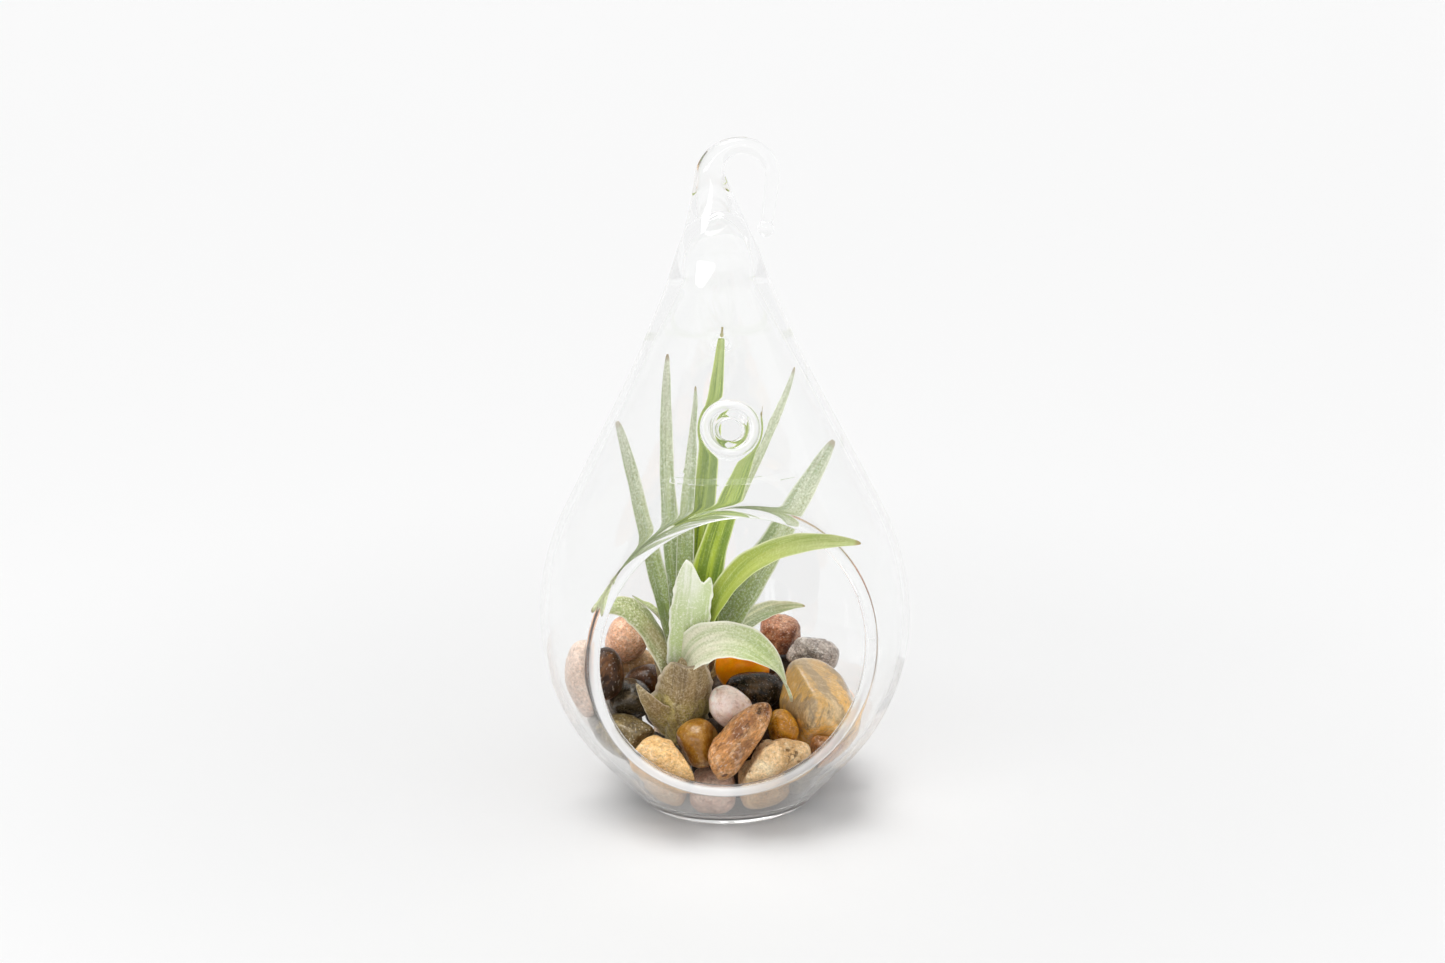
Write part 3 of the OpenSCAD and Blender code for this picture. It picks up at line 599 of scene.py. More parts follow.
# Plant: four points from root to tip, turn and rise of the left edge in degrees, width, cup, taper, kind
LEAVES = [
    ((-12, -12, 43), (-18.3, -9, 66), (-22.8, -6, 87), (-27.4, -2, 108), 225, 0, 7.5, 1.2, 0.35, "back"),
    ((-11, -10, 45), (-14, -5, 73), (-15, 0, 99), (-14, 5, 125), 205, 0, 6.2, 1, 0.4, "back"),
    ((-9, -10, 46), (-10.5, -6, 72), (-8.5, -3, 95.5), (-6.6, 0, 117), 195, 0, 6, 1, 0.55, "back"),
    ((-8, -10, 46), (-6.6, -4, 72), (-3, 6, 100), (0.9, 25.4, 127.7), 185, 0, 9, 1.6, 0.5, "deep"),
    ((-6, -13, 48), (-3, -12, 73), (4, -9, 92), (10.5, -6, 111), 165, 0, 10.5, 2, 0.65, "deep"),
    ((-6.5, -11.5, 50), (-0.5, -8, 74), (6, -6, 94), (11, -4, 112), 150, 0, 5, 1, 0.8, "old"),
    ((-5, -9, 48), (0, -5, 76), (10, 0, 97), (20.2, 4, 121), 150, 0, 5.5, 1, 0.45, "back"),
    ((-4, -10, 47), (7, -7, 63), (18, -2, 80), (30.2, 2, 100.5), 150, 0, 11.5, 1.6, 0.4, "back"),
    ((-6, -14, 47), (3, -23, 70), (17, -36, 83.4), (35, -49, 88.5), 100, 40, 10.5, 2, 0.5, "fresh"),
    ((-4, -11, 45), (5, -5, 51), (13, 2, 52.3), (22, 8, 51), 100, 35, 8, 2.4, 0.55, "split"),
    ((-10.5, -16.5, 41), (-4.4, -22.5, 52.4), (7.6, -28, 52.6), (17, -31, 38.5),
     122, 47, 12.5, 1.7, 0.36, "arch"),
    ((-12, -13, 38), (-19, -16.5, 54), (-26, -18.5, 61.5), (-35, -20, 61), 90, 60, 10, 1.6, 0.45, "scaly"),
    ((-10.2, -15, 42), (-9.5, -17.5, 57), (-8.4, -18, 65), (-7.4, -18, 74.5), 180, 0, 11, 2, 0.03, "pale"),
    ((-13, -15, 25), (-16.5, -18.5, 29), (-20, -22, 34.5), (-24, -24, 42), 0, 33, 10, 1.2, 0.7, "sheath"),
    ((-12, -10, 44), (-17, -6, 53), (-21, -3, 56), (-25, 0, 58), 255, 0, 5.5, 1, 0.6, "scaly"),
    ((-14, -15.5, 24), (-12.2, -19, 31), (-10.9, -21.3, 38.5), (-10, -22.9, 46),
     0, 0, 18, 5.5, 0.2, "sheath"),
    ((-14, -13, 27), (-17, -13.5, 35), (-18.5, -14.5, 42), (-20, -15.5, 49), 270, 0, 9, 2, 0.4, "sheath"),
]
# Stem: middles and radii of its stations, from below
STEM = [
    ((-14, -14, 21.5), 2.6), ((-13.6, -14, 25), 4), ((-13, -14, 29), 5.4), ((-12.2, -14, 33.5), 6.4),
    ((-11.2, -13.8, 38), 6.8), ((-10.2, -12.9, 42.5), 6), ((-9.2, -12.2, 47), 5.2),
    ((-8.2, -11.6, 51.5), 4.2), ((-7.4, -11.2, 56), 3.2),
]
# Notched end of the broken leaf: place from its left edge to its right one, part of the length cut away
NOTCH = [
    (-1, 0.19), (-0.9, 0.12), (-0.68, 0.17), (-0.49, 0.22), (-0.17, 0.13), (0.15, 0.04), (0.54, 0),
    (0.8, 0.05), (1, 0.15),
]


def cubic(p, t):
    """Points at parts t of the cubic that passes four points, at its start, a third, two thirds and end."""
    t = np.asarray(t)[..., None]
    a, b, c = t - 1 / 3, t - 2 / 3, t - 1
    early = -4.5 * a * b * c * p[0] + 13.5 * t * b * c * p[1]
    return early - 13.5 * t * a * c * p[2] + 4.5 * t * a * b * p[3]


def leaf_grid(s, leaf, index, steps=80, around=32):
    """One leaf. Its midrib is the cubic through four points. Its section is a flat oval whose edges lift
    with the square of the distance from the midrib, and its width falls off with a power of the length."""
    p = np.array(leaf[:4], dtype=float)
    turn, rise = np.radians(leaf[4]), np.radians(leaf[5])
    width, cup, taper, kind = leaf[6:]
    t = 1 - np.linspace(1, 0, steps) ** 1.25
    t[-1] = 0.998
    a = np.linspace(0, 2 * np.pi, around, endpoint=False)
    u, v = np.cos(a), np.sin(a)
    # A broken leaf ends in a notched edge instead of a point
    at = t[:, None] + 0 * u
    if kind == "pale":
        at = t[:, None] * (1 - np.interp(u, *np.transpose(NOTCH)))
    along = unit(cubic(p, t + 0.01) - cubic(p, t - 0.01))
    flat = np.array([math.cos(turn) * math.cos(rise), math.sin(turn) * math.cos(rise), math.sin(rise)])
    side = unit(flat - (along @ flat)[:, None] * along)
    up = np.cross(along, side)
    spread = (1 - t) ** taper * np.minimum(1, 0.8 + 3 * t)
    half = width / 2 * s.breadth * spread
    half = half * (1 + 0.03 * np.sin(17 * t + index) + 0.02 * np.sin(41 * t + 2 * index))
    thick = s.leaf_t * np.maximum(0.25, spread)
    wave = np.minimum(1, 4 * (1 - t))[:, None] * (0.06 if kind == "pale" else 0.14)
    ripple = wave * np.sin(23 * t[:, None] + 3 * np.sign(u) + index) * np.abs(u) ** 3
    near_rib = np.exp(-((u / 0.14) ** 2))
    rib = -0.2 * near_rib * (v > 0) + 0.14 * near_rib * (v < 0)
    keel = 0.5 * np.abs(u) ** 1.3 + 0.5 * u**2
    lift = cup * spread[:, None] * keel + thick[:, None] * (0.5 * v * (1.15 - u * u) + rib) + ripple
    across = half[:, None] * u
    breadth = across
    # The near corner of the arched leaf is rounded off where it leaves the stem
    if kind == "arch":
        corner = 0.05 + 0.95 * np.sqrt(np.clip(t / 0.32, 0, 1))
        breadth = np.where(u < 0, across * corner[:, None], across)
    grid = cubic(p, at) + breadth[..., None] * side[:, None] + lift[..., None] * up[:, None]
    length = np.linalg.norm(p[1:] - p[:-1], axis=1).sum()
    edge = np.abs(u) + 0 * at
    # The cut top of a sheath and of the broken leaf gets a pale rim too: partly a pale margin, partly a
    # painted highlight
    if kind in ("pale", "sheath"):
        edge = np.maximum(edge, 1 - (1 - t[:, None]) * length / 7)
    blade = np.stack([across, at * length, 0 * at + 9.7 * index], axis=-1)
    return grid, {"blade": blade, "along": at, "edge": edge, "face": v + 0 * at}


def leaf_mesh(s, leaves):
    """Joins the grids of several leaves and marks each point with its place on the leaf: millimetres across
    and along, part of the length, nearness to the edge, and which face it is on."""
    points, quads, tris, marks, count = [], [], [], {}, 0
    for index, leaf in leaves:
        grid, own = leaf_grid(s, leaf, index)
        rows, around = grid.shape[:2]
        points.append(np.concatenate([grid.reshape(-1, 3), [grid[0].mean(axis=0)]]))
        for label, values in own.items():
            flat = values.reshape(rows * around, -1)
            root = values[0].mean(axis=0).reshape(1, -1)
            marks.setdefault(label, []).append(np.concatenate([flat, root]))
        across, corners = seam(count + (rows - 1) * around + np.arange(around))
        quads += [strip(rows, around, count), across]
        tris += [corners, fan(count + rows * around, count + np.arange(around), flip=True)]
        count += rows * around + 1
    marks = {label: np.squeeze(np.concatenate(values)) for label, values in marks.items()}
    return np.concatenate(points), np.concatenate(quads), np.concatenate(tris), marks


def stem_mesh(steps=60, around=48):
    """Stem: circles whose middle and radius run evenly from one listed station to the next, in overlapping
    scales."""
    at = np.linspace(0, len(STEM) - 1, steps)
    k = np.arange(len(STEM))
    middle = np.stack([np.interp(at, k, [m[0][c] for m in STEM]) for c in range(3)], axis=-1)
    r = np.interp(at, k, [m[1] for m in STEM])
    a = np.linspace(0, 2 * np.pi, around, endpoint=False)
    wave = 1 + 0.04 * np.sin(3 * a + at[:, None]) + 0.03 * np.sin(7 * a - 2 * at[:, None])
    # Each old leaf base overlaps the next along a slanting edge
    wave = wave - 0.05 * np.mod(at[:, None] * 0.9 + a / np.pi, 1.0)
    ring = np.stack([np.cos(a), np.sin(a), 0 * a], axis=-1)
    grid = middle[:, None] + (r[:, None] * wave)[..., None] * ring
    ends = np.stack([middle[0] - [0, 0, r[0] * 0.8], middle[-1] + [0, 0, r[-1] * 0.8]])
    points = np.concatenate([grid.reshape(-1, 3), ends])
    blade = np.stack([r[:, None] * (a - np.pi), at[:, None] * 4.3 + 0 * a, 0 * wave + 3.1], axis=-1)
    blade = blade.reshape(-1, 3)
    along = (at[:, None] / at[-1] + 0 * a).ravel()
    marks = {
        "blade": np.concatenate([blade, blade[:2]]), "along": np.append(along, [0, 0.9]),
        "edge": np.full(len(points), 0.3), "face": np.full(len(points), -1.0),
    }
    return points, strip(steps, around), end_fans(steps, around), marks


# Each pebble's name, middle, half sizes, turn in degrees, slot, kind and facets
Pebble = namedtuple("Pebble", "name middle half turn slot kind facets")
PEBBLES = [
    ("pebble_pink_grey", (-38, -9, 37), (6, 9, 12), (0, 0, 13), "stone_rose", "rose", 2),
    ("pebble_dark_brown", (-32, -17, 42), (5, 5, 7.5), (0, 0, 30), "stone_dark", "umber", 0),
    ("pebble_red_brown", (-27, 6, 43), (6, 7, 6.5), (0, 20, 0), "stone_red", "red", 0),
    ("pebble_tan_small", (-25, 9, 34), (6, 5.5, 5), (0, 0, 20), "stone_tan", "tan", 0),
    ("pebble_grey_brown", (-22, -1, 33), (6.5, 6, 5), (0, 0, 0), "stone_brown", "umber", 0),
    ("pebble_dark_grey", (-25.8, -13, 33), (6.5, 6.5, 5.5), (0, 0, 20), "stone_dark", "dark", 0),
    ("pebble_dark_olive", (-27, -21.5, 26), (10, 6, 5.5), (0, 10, -35), "stone_dark", "moss", 2),
    ("pebble_tan_front", (-18.5, -29, 20), (15, 8, 8), (0, 12, -28), "stone_tan", "sand", 3),
    ("pebble_olive", (-7.5, -24.5, 24.5), (7, 6, 7), (0, 0, 0), "stone_ochre", "olive", 0),
    ("pebble_quartz", (1, -20, 33), (6, 5.5, 6.5), (0, -20, 0), "stone_quartz", "quartz", 1),
    ("pebble_brown_long", (3, -29, 26.5), (16.5, 6.3, 6.2), (0, -47, 12), "stone_brown", "brown", 2),
    ("pebble_tan_ridged", (13.2, -29.5, 20.5), (13.5, 7.2, 8.5), (0, -12, 20), "stone_tan", "ridged", 3),
    ("pebble_ochre", (24.5, -15.5, 29.8), (11.5, 10.5, 15.3), (0, -25, 0), "stone_ochre", "ochre", 2),
    ("pebble_amber_small", (15, -22.5, 27), (4.5, 4.5, 6), (0, 0, 0), "stone_ochre", "amber", 0),
    ("pebble_rust", (26, -25, 22), (5.5, 5, 5), (0, 0, 40), "stone_brown", "brown", 0),
    ("pebble_black", (8, -8, 32.5), (8.5, 6, 5.2), (0, 8, 0), "stone_dark", "night", 0),
    ("pebble_orange", (4.5, 3, 35.5), (7.5, 7, 7), (0, 0, 0), "stone_orange", "orange", 0),
    ("pebble_maroon", (15.5, 17, 39), (6.5, 6.5, 7), (0, 0, 0), "stone_red", "maroon", 1),
    ("pebble_slate", (23.5, 10, 36), (8.5, 6.5, 5.5), (0, 15, 20), "stone_dark", "slate", 5),
    ("pebble_beige_low", (-17, -18, 11), (8, 7, 7), (0, 0, -40), "stone_tan", "beige", 0),
    ("pebble_purple_low", (-4, -20, 9.5), (7.5, 7, 6.5), (0, 0, 0), "stone_grey", "plum", 0),
    ("pebble_tan_low", (9, -20, 11), (7.5, 7, 7), (0, 0, 20), "stone_tan", "tan", 0),
    ("pebble_grey_low", (21, -12, 12), (8, 7, 7), (0, 0, 55), "stone_grey", "grey", 0),
    ("pebble_floor_middle", (0, -3, 8.5), (10.5, 10.5, 6.5), (0, 0, 0), "stone_mixed", "shade", 0),
    ("pebble_floor_left", (-20, -2, 12), (8, 10, 7.5), (0, 0, 0), "stone_mixed", "grey", 0),
    ("pebble_floor_right", (21, 3, 12), (8, 9, 7.5), (0, 0, 0), "stone_mixed", "brown", 0),
    ("pebble_floor_back_left", (-11, 14, 10.5), (10, 9, 8.5), (0, 0, 20), "stone_mixed", "beige", 0),
    ("pebble_floor_back_right", (9, 15, 11), (10, 8, 8), (0, 0, -20), "stone_mixed", "plum", 0),
    ("pebble_mid_left", (-31, -5, 23), (8, 9.5, 7.5), (0, 20, 0), "stone_mixed", "grey", 0),
    ("pebble_mid_left_back", (-30, 12, 24), (8.5, 10, 8.5), (0, 15, -20), "stone_mixed", "tan", 0),
    ("pebble_back_left", (-19, 26, 24), (10, 8.5, 8.5), (0, 0, 38), "stone_mixed", "slate", 2),
    ("pebble_back", (-2, 31, 24), (10, 8, 8.5), (0, 0, 0), "stone_mixed", "ochre", 0),
    ("pebble_back_right", (14, 28, 25), (9, 8.5, 8.5), (0, 0, -25), "stone_mixed", "brown", 1),
    ("pebble_right_back", (25, 18, 18.5), (8, 9, 7.5), (0, 0, 30), "stone_mixed", "red", 0),
    ("pebble_right", (29, 2, 22), (8, 9.5, 8), (0, -20, 0), "stone_mixed", "plum", 0),
    ("pebble_right_front", (29.5, -12, 20), (7, 7.5, 6.5), (0, -20, -20), "stone_mixed", "tan", 0),
    # Stones of the kind shade are painted near-black, as painted shade deep in the bed
    ("pebble_mid_front", (9, -10, 21), (8.5, 8, 7.5), (0, 0, 0), "stone_mixed", "shade", 0),
    ("pebble_under_quartz", (-4, -14, 20.5), (7.5, 7, 6.5), (0, 0, 0), "stone_mixed", "shade", 0),
    ("pebble_mid_middle", (-14, 3, 23), (9, 8.5, 8), (0, 0, 0), "stone_mixed", "shade", 0),
    ("pebble_under_orange", (2, 10, 24), (9.5, 8.5, 8), (0, 0, 0), "stone_mixed", "shade", 0),
    ("pebble_mid_right", (17, 5, 24), (8.5, 9, 9.5), (0, 0, 0), "stone_mixed", "shade", 0),
    ("pebble_under_maroon", (15.5, 16.5, 28.5), (7.5, 7, 7), (0, 0, 0), "stone_mixed", "shade", 0),
    ("pebble_behind_plant", (-11, 14.5, 33.5), (9, 8, 8.5), (0, 0, 0), "stone_mixed", "umber", 0),
]
PEBBLES = [Pebble(*row) for row in PEBBLES]
# How much of the worn relief a kind shows, if not the usual amount, and how many creases
WORN = {"sand": 1.6, "ridged": 2.0, "slate": 1.8, "brown": 1.5, "rose": 1.4, "maroon": 1.3}
WORN_USUAL = 0.6
CREASES = {"ridged": 3, "slate": 3, "sand": 1}
# Soft lumps along a stone's axes: degrees of a sine to one unit of direction, shift from stone to stone
LUMPS = ((200, 97), (230, 51), (170, 143))
# Neighbours are looked for within this distance, in millimetres
NEAR = 26


def turned(v, degrees):
    """Vectors turned first about X, then Y, then Z."""
    a, b, c = np.radians(degrees)
    x = np.array([[1, 0, 0], [0, math.cos(a), -math.sin(a)], [0, math.sin(a), math.cos(a)]])
    y = np.array([[math.cos(b), 0, math.sin(b)], [0, 1, 0], [-math.sin(b), 0, math.cos(b)]])
    z = np.array([[math.cos(c), -math.sin(c), 0], [math.sin(c), math.cos(c), 0], [0, 0, 1]])
    return v @ (z @ y @ x).T


def half_extent(stone, n):
    """How far a stone's ellipsoid reaches from its middle along a direction."""
    return np.linalg.norm(np.array(stone.half) * (turned(np.eye(3), stone.turn) @ n))


def shared_planes(form, s, stone):
    """Planes that hold a stone back, each a direction and a distance from its middle: the glass floor, the
    nearest stations of the stem and the plane between it and each neighbour."""
    c = np.array(stone.middle, dtype=float)
    room_under = 0.5
    planes = [(np.array([0, 0, -1.0]), c[2] - form.floor_t - room_under - s.gap)]
    for m, r in STEM:
        to = np.array(m) - c
        if np.linalg.norm(to) < NEAR:
            planes.append((unit(to), np.linalg.norm(to) - r - s.gap))
    for other in PEBBLES:
        to = np.array(other.middle, dtype=float) - c
        dist = np.linalg.norm(to)
        if other is not stone and dist < NEAR:
            n = to / dist
            a, b = half_extent(stone, n), half_extent(other, n)
            planes.append((n, dist * a / (a + b) - s.gap / 2))
    return planes


def glass_reach(form, inset, c, d, start):
    """Distance from a middle along directions to the inside of the glass, moved in by an inset, found by
    halving from a start."""
    low, high = np.zeros(len(d)), start
    for _ in range(24):
        mid = (low + high) / 2
        p = c + mid[:, None] * d
        r, slope = form.radius(p[:, 2])
        inside = np.hypot(p[:, 0], p[:, 1]) < r - (form.wall + inset) / np.cos(slope)
        low, high = np.where(inside, mid, low), np.where(inside, high, mid)
    return low


def pebble_mesh(form, s, k):
    """One pebble: a squared ball with soft lumps whose reach in each direction is held back smoothly by the
    planes it shares with its neighbours, by the glass and by the floor. Facets are further planes."""
    stone = PEBBLES[k]
    c, half = np.array(stone.middle, dtype=float), np.array(stone.half, dtype=float)
    rows, cols = s.rows - 1, int(s.rows * 1.6)
    lat = np.linspace(-np.pi / 2, np.pi / 2, s.rows + 1)[1:-1, None]
    lon = np.linspace(0, 2 * np.pi, cols, endpoint=False)[None, :]
    ball = np.stack([np.cos(lat) * np.cos(lon), np.cos(lat) * np.sin(lon), np.sin(lat) + 0 * lon], axis=-1)
    own = unit(half * np.concatenate([ball.reshape(-1, 3), [[0, 0, -1], [0, 0, 1]]]))
    d = turned(own, stone.turn)
    power = 2.3
    free = np.sum((np.abs(own) / half) ** power, axis=-1) ** (-1 / power)
    lump = [np.sin(np.radians(f * own[:, i] + shift * k)) for i, (f, shift) in enumerate(LUMPS)]
    free = free * (1 + 0.03 * (lump[0] + lump[1] + lump[2]))
    planes = shared_planes(form, s, stone)
    rng = np.random.default_rng(40 + k)
    for _ in range(stone.facets):
        n = unit(rng.normal(size=3) + np.array([0, -0.9, 0.5]))
        planes.append((n, half_extent(stone, n) * rng.uniform(0.74, 0.9)))
    limits = [free, glass_reach(form, s.gap + 0.45, c, d, 2 * free)]
    for n, h in planes:
        along = d @ n
        limits.append(np.where(along > 0.02, h / np.maximum(along, 0.02), 1e3))
    # Smooth smallest of the limits: their power mean with a high negative power
    sharp = 16 if stone.facets > 1 else 10
    held = free * np.sum([(limit / free) ** -sharp for limit in limits], axis=0) ** (-1 / sharp)
    # Worn dents and lumps, inwards only
    waves = 0
    for octave, depth in ((2.2, 0.028), (4.5, 0.016), (9.0, 0.007)):
        for _ in range(3):
            w = rng.normal(size=3) * octave
            waves = waves + depth * (np.sin(d @ w + rng.uniform(0, 6.3)) - 1) / 2
    held = held * (1 + WORN.get(stone.kind, WORN_USUAL) * waves)
    # Creases of a broken or bedded stone
    for _ in range(CREASES.get(stone.kind, 0)):
        n = unit(rng.normal(size=3))
        held = held * (1 - 0.05 * np.exp(-(((d @ n - rng.uniform(-0.4, 0.4)) / 0.06) ** 2)))
    return c + held[:, None] * d, strip(rows, cols), end_fans(rows, cols)


# Shader helpers


def new_group(name, vectors, colours, marks):
    """Starts a shader node group with inputs of three kinds, which puts out a colour, a height and a mask."""
    group = bpy.data.node_groups.new(name, "ShaderNodeTree")
    for kind, labels in (("Vector", vectors), ("Color", colours), ("Float", marks)):
        for label in labels:
            group.interface.new_socket(name=label, in_out="INPUT", socket_type="NodeSocket" + kind)
    for label, kind in (("Color", "Color"), ("Height", "Float"), ("Mask", "Float")):
        group.interface.new_socket(name=label, in_out="OUTPUT", socket_type="NodeSocket" + kind)
    return group, group.nodes.new("NodeGroupInput").outputs, group.nodes.new("NodeGroupOutput")


class Wires:
    """Short ways to add and join nodes in a tree."""

    def __init__(self, tree):
        self.tree = tree

    def add(self, kind, values=None, **settings):
        """Adds a node with its settings and puts values on its inputs."""
        node = self.tree.nodes.new(kind)
        for key, value in settings.items():
            setattr(node, key, value)
        self.fill(node, values or {})
        return node

    def fill(self, node, values):
        """Puts values on a node's inputs. An output is joined to the input, anything else is set on it."""
        for label, value in values.items():
            if isinstance(value, bpy.types.NodeSocket):
                self.tree.links.new(value, node.inputs[label])
            else:
                node.inputs[label].default_value = value

    def math(self, operation, a, b=None, clamp=False):
        values = {0: a} if b is None else {0: a, 1: b}
        return self.add("ShaderNodeMath", values, operation=operation, use_clamp=clamp).outputs[0]

    def times(self, a, b, clamp=False):
        return self.math("MULTIPLY", a, b, clamp)

    def plus(self, a, b):
        return self.math("ADD", a, b)

    def minus(self, a, b):
        return self.math("SUBTRACT", a, b)

    def noise(self, vector, scale, detail=4.0, rough=0.55, distort=0.0):
        values = {"Vector": vector, "Scale": scale, "Detail": detail, "Roughness": rough}
        return self.add("ShaderNodeTexNoise", {**values, "Distortion": distort}).outputs["Fac"]

    def range(self, value, low, high, out_low=0.0, out_high=1.0):
        """A value led smoothly from one pair of ends to another."""
        values = {"Value": value, "From Min": low, "From Max": high, "To Min": out_low, "To Max": out_high}
        return self.add("ShaderNodeMapRange", values, interpolation_type="SMOOTHSTEP").outputs["Result"]

    def mix(self, factor, a, b, blend="MIX"):
        """A mix of two colours."""
        values = {"Factor": factor, "A": a, "B": b}
        return self.add("ShaderNodeMix", values, data_type="RGBA", blend_type=blend).outputs["Result"]

    def shade(self, factor, a, b):
        """A mix of two shaders."""
        return self.add("ShaderNodeMixShader", {"Fac": factor, 1: a, 2: b}).outputs["Shader"]

    def scaled(self, vector, scale, location=(0, 0, 0), rotation=(0, 0, 0)):
        values = {"Vector": vector, "Scale": scale, "Location": location, "Rotation": rotation}
        return self.add("ShaderNodeMapping", values).outputs["Vector"]

    def place(self):
        """Object coordinates."""
        return self.add("ShaderNodeTexCoord").outputs["Object"]

    def parts(self, vector):
        """X, Y and Z of a vector."""
        return self.add("ShaderNodeSeparateXYZ", {0: vector}).outputs

    def mark(self, label, output="Fac"):
        """A mark of the mesh's points."""
        return self.add("ShaderNodeAttribute", attribute_name=label).outputs[output]

    def relief(self, height, strength, distance):
        """Normal of a surface with a relief."""
        values = {"Height": height, "Strength": strength, "Distance": distance}
        return self.add("ShaderNodeBump", values).outputs["Normal"]


BLACK = (0.0, 0.0, 0.0, 1.0)


def stone_group():
    """Tones of a pebble: a slow mix of three colours, a finer mottle, grain, light and dark specks, veins,
    cracks, bands and pits. Height stands for how far the surface stands out, and Mask for what is dull."""
    found = bpy.data.node_groups.get("Stone tones")
    if found:
        return found
    group, given, out = new_group("Stone tones", ["Vector"], STONE_COLOURS, STONE_MARKS)
    w = Wires(group)
    vector, size, contrast = given["Vector"], given["Patch size"], given["Contrast"]
    slow = w.noise(vector, size, 6.0, 0.62, 0.7)
    other = w.noise(w.scaled(vector, (1, 1, 1), (3.1, 1.7, 5.3)), w.times(size, 1.7), 6.0, 0.66, 0.5)
    wave = w.add("ShaderNodeTexWave", {
        "Vector": vector, "Scale": 42.0, "Distortion": 7.0, "Detail": 4.0, "Detail Scale": 1.4,
        "Detail Roughness": 0.6,
    }, wave_type="BANDS", bands_direction="DIAGONAL").outputs["Fac"]
    drive = w.plus(w.times(wave, given["Bands"]), w.times(slow, w.minus(1.0, given["Bands"])))
    colour = w.mix(w.times(w.range(drive, 0.36, 0.52, 1.0, 0.0), contrast), given["Base"], given["Dark"])
    colour = w.mix(w.times(w.range(other, 0.5, 0.66), contrast), colour, given["Light"])
    # Finer mottle, from the same colours
    mottle = w.noise(vector, 430.0, 5.0, 0.7, 0.3)
    colour = w.mix(w.times(w.range(mottle, 0.3, 0.5, 0.75, 0.0), contrast), colour, given["Dark"])
    colour = w.mix(w.times(w.range(mottle, 0.5, 0.68, 0.0, 0.6), contrast), colour, given["Light"])
    # Veins lie where a slow noise crosses its middle value, cracks where another does
    cross = w.math("ABSOLUTE", w.minus(w.noise(vector, 95.0, 5.0, 0.6, 1.4), 0.5))
    vein = w.times(w.range(cross, 0.0, 0.02, 1.0, 0.0), given["Veins"])
    colour = w.mix(vein, colour, given["Vein"])
    turned_vector = w.scaled(vector, (1, 1.6, 0.7), (7.3, 2.9, 1.1), (0.6, 0.3, 0.9))
    split = w.math("ABSOLUTE", w.minus(w.noise(turned_vector, 62.0, 4.0, 0.55, 0.8), 0.5))
    crack = w.times(w.range(split, 0.0, 0.009, 1.0, 0.0), given["Cracks"])
    colour = w.mix(crack, colour, w.mix(0.75, given["Dark"], BLACK))
    grain = w.noise(vector, 1250.0, 3.0, 0.75)
    bright = w.plus(1.0, w.times(w.times(w.minus(grain, 0.5), given["Grain"]), 3.6))
    tone = w.add("ShaderNodeCombineColor", {0: bright, 1: bright, 2: bright}).outputs[0]
    colour = w.mix(1.0, colour, tone, "MULTIPLY")
    specks = w.noise(w.scaled(vector, (1, 1, 1), (11.3, 4.1, 8.2)), 1700.0, 1.0, 0.5)
    pale = w.times(w.range(specks, 0.62, 0.7), given["Specks"])
    deep = w.times(w.range(specks, 0.3, 0.38, 1.0, 0.0), given["Specks"])
    colour = w.mix(pale, colour, w.mix(0.5, given["Light"], (1.0, 0.95, 0.88, 1.0)))
    colour = w.mix(deep, colour, given["Dark"])
    values = {"Vector": vector, "Scale": 480.0, "Randomness": 1.0}
    cells = w.add("ShaderNodeTexVoronoi", values, feature="F1").outputs["Distance"]
    patchy = w.times(w.range(cells, 0.16, 0.32, 1.0, 0.0), w.range(w.noise(vector, 230.0, 2.0), 0.52, 0.6))
    pit = w.times(patchy, given["Pits"])
    colour = w.mix(w.times(pit, 0.85), colour, w.mix(0.6, given["Dark"], BLACK))
    height = w.minus(w.times(grain, given["Grain"]), w.times(pit, 2.2))
    height = w.minus(w.plus(height, w.times(mottle, 0.9)), w.times(crack, 0.8))
    dull = w.math("MAXIMUM", w.times(vein, 0.4), w.math("MAXIMUM", pit, crack))
    w.fill(out, {"Color": colour, "Height": height, "Mask": dull})
    return group


# Names of a stone's colours and of the numbers of its texture
STONE_COLOURS = ("Base", "Dark", "Light", "Vein")
STONE_MARKS = ("Patch size", "Contrast", "Grain", "Veins", "Pits", "Bands", "Specks", "Cracks")
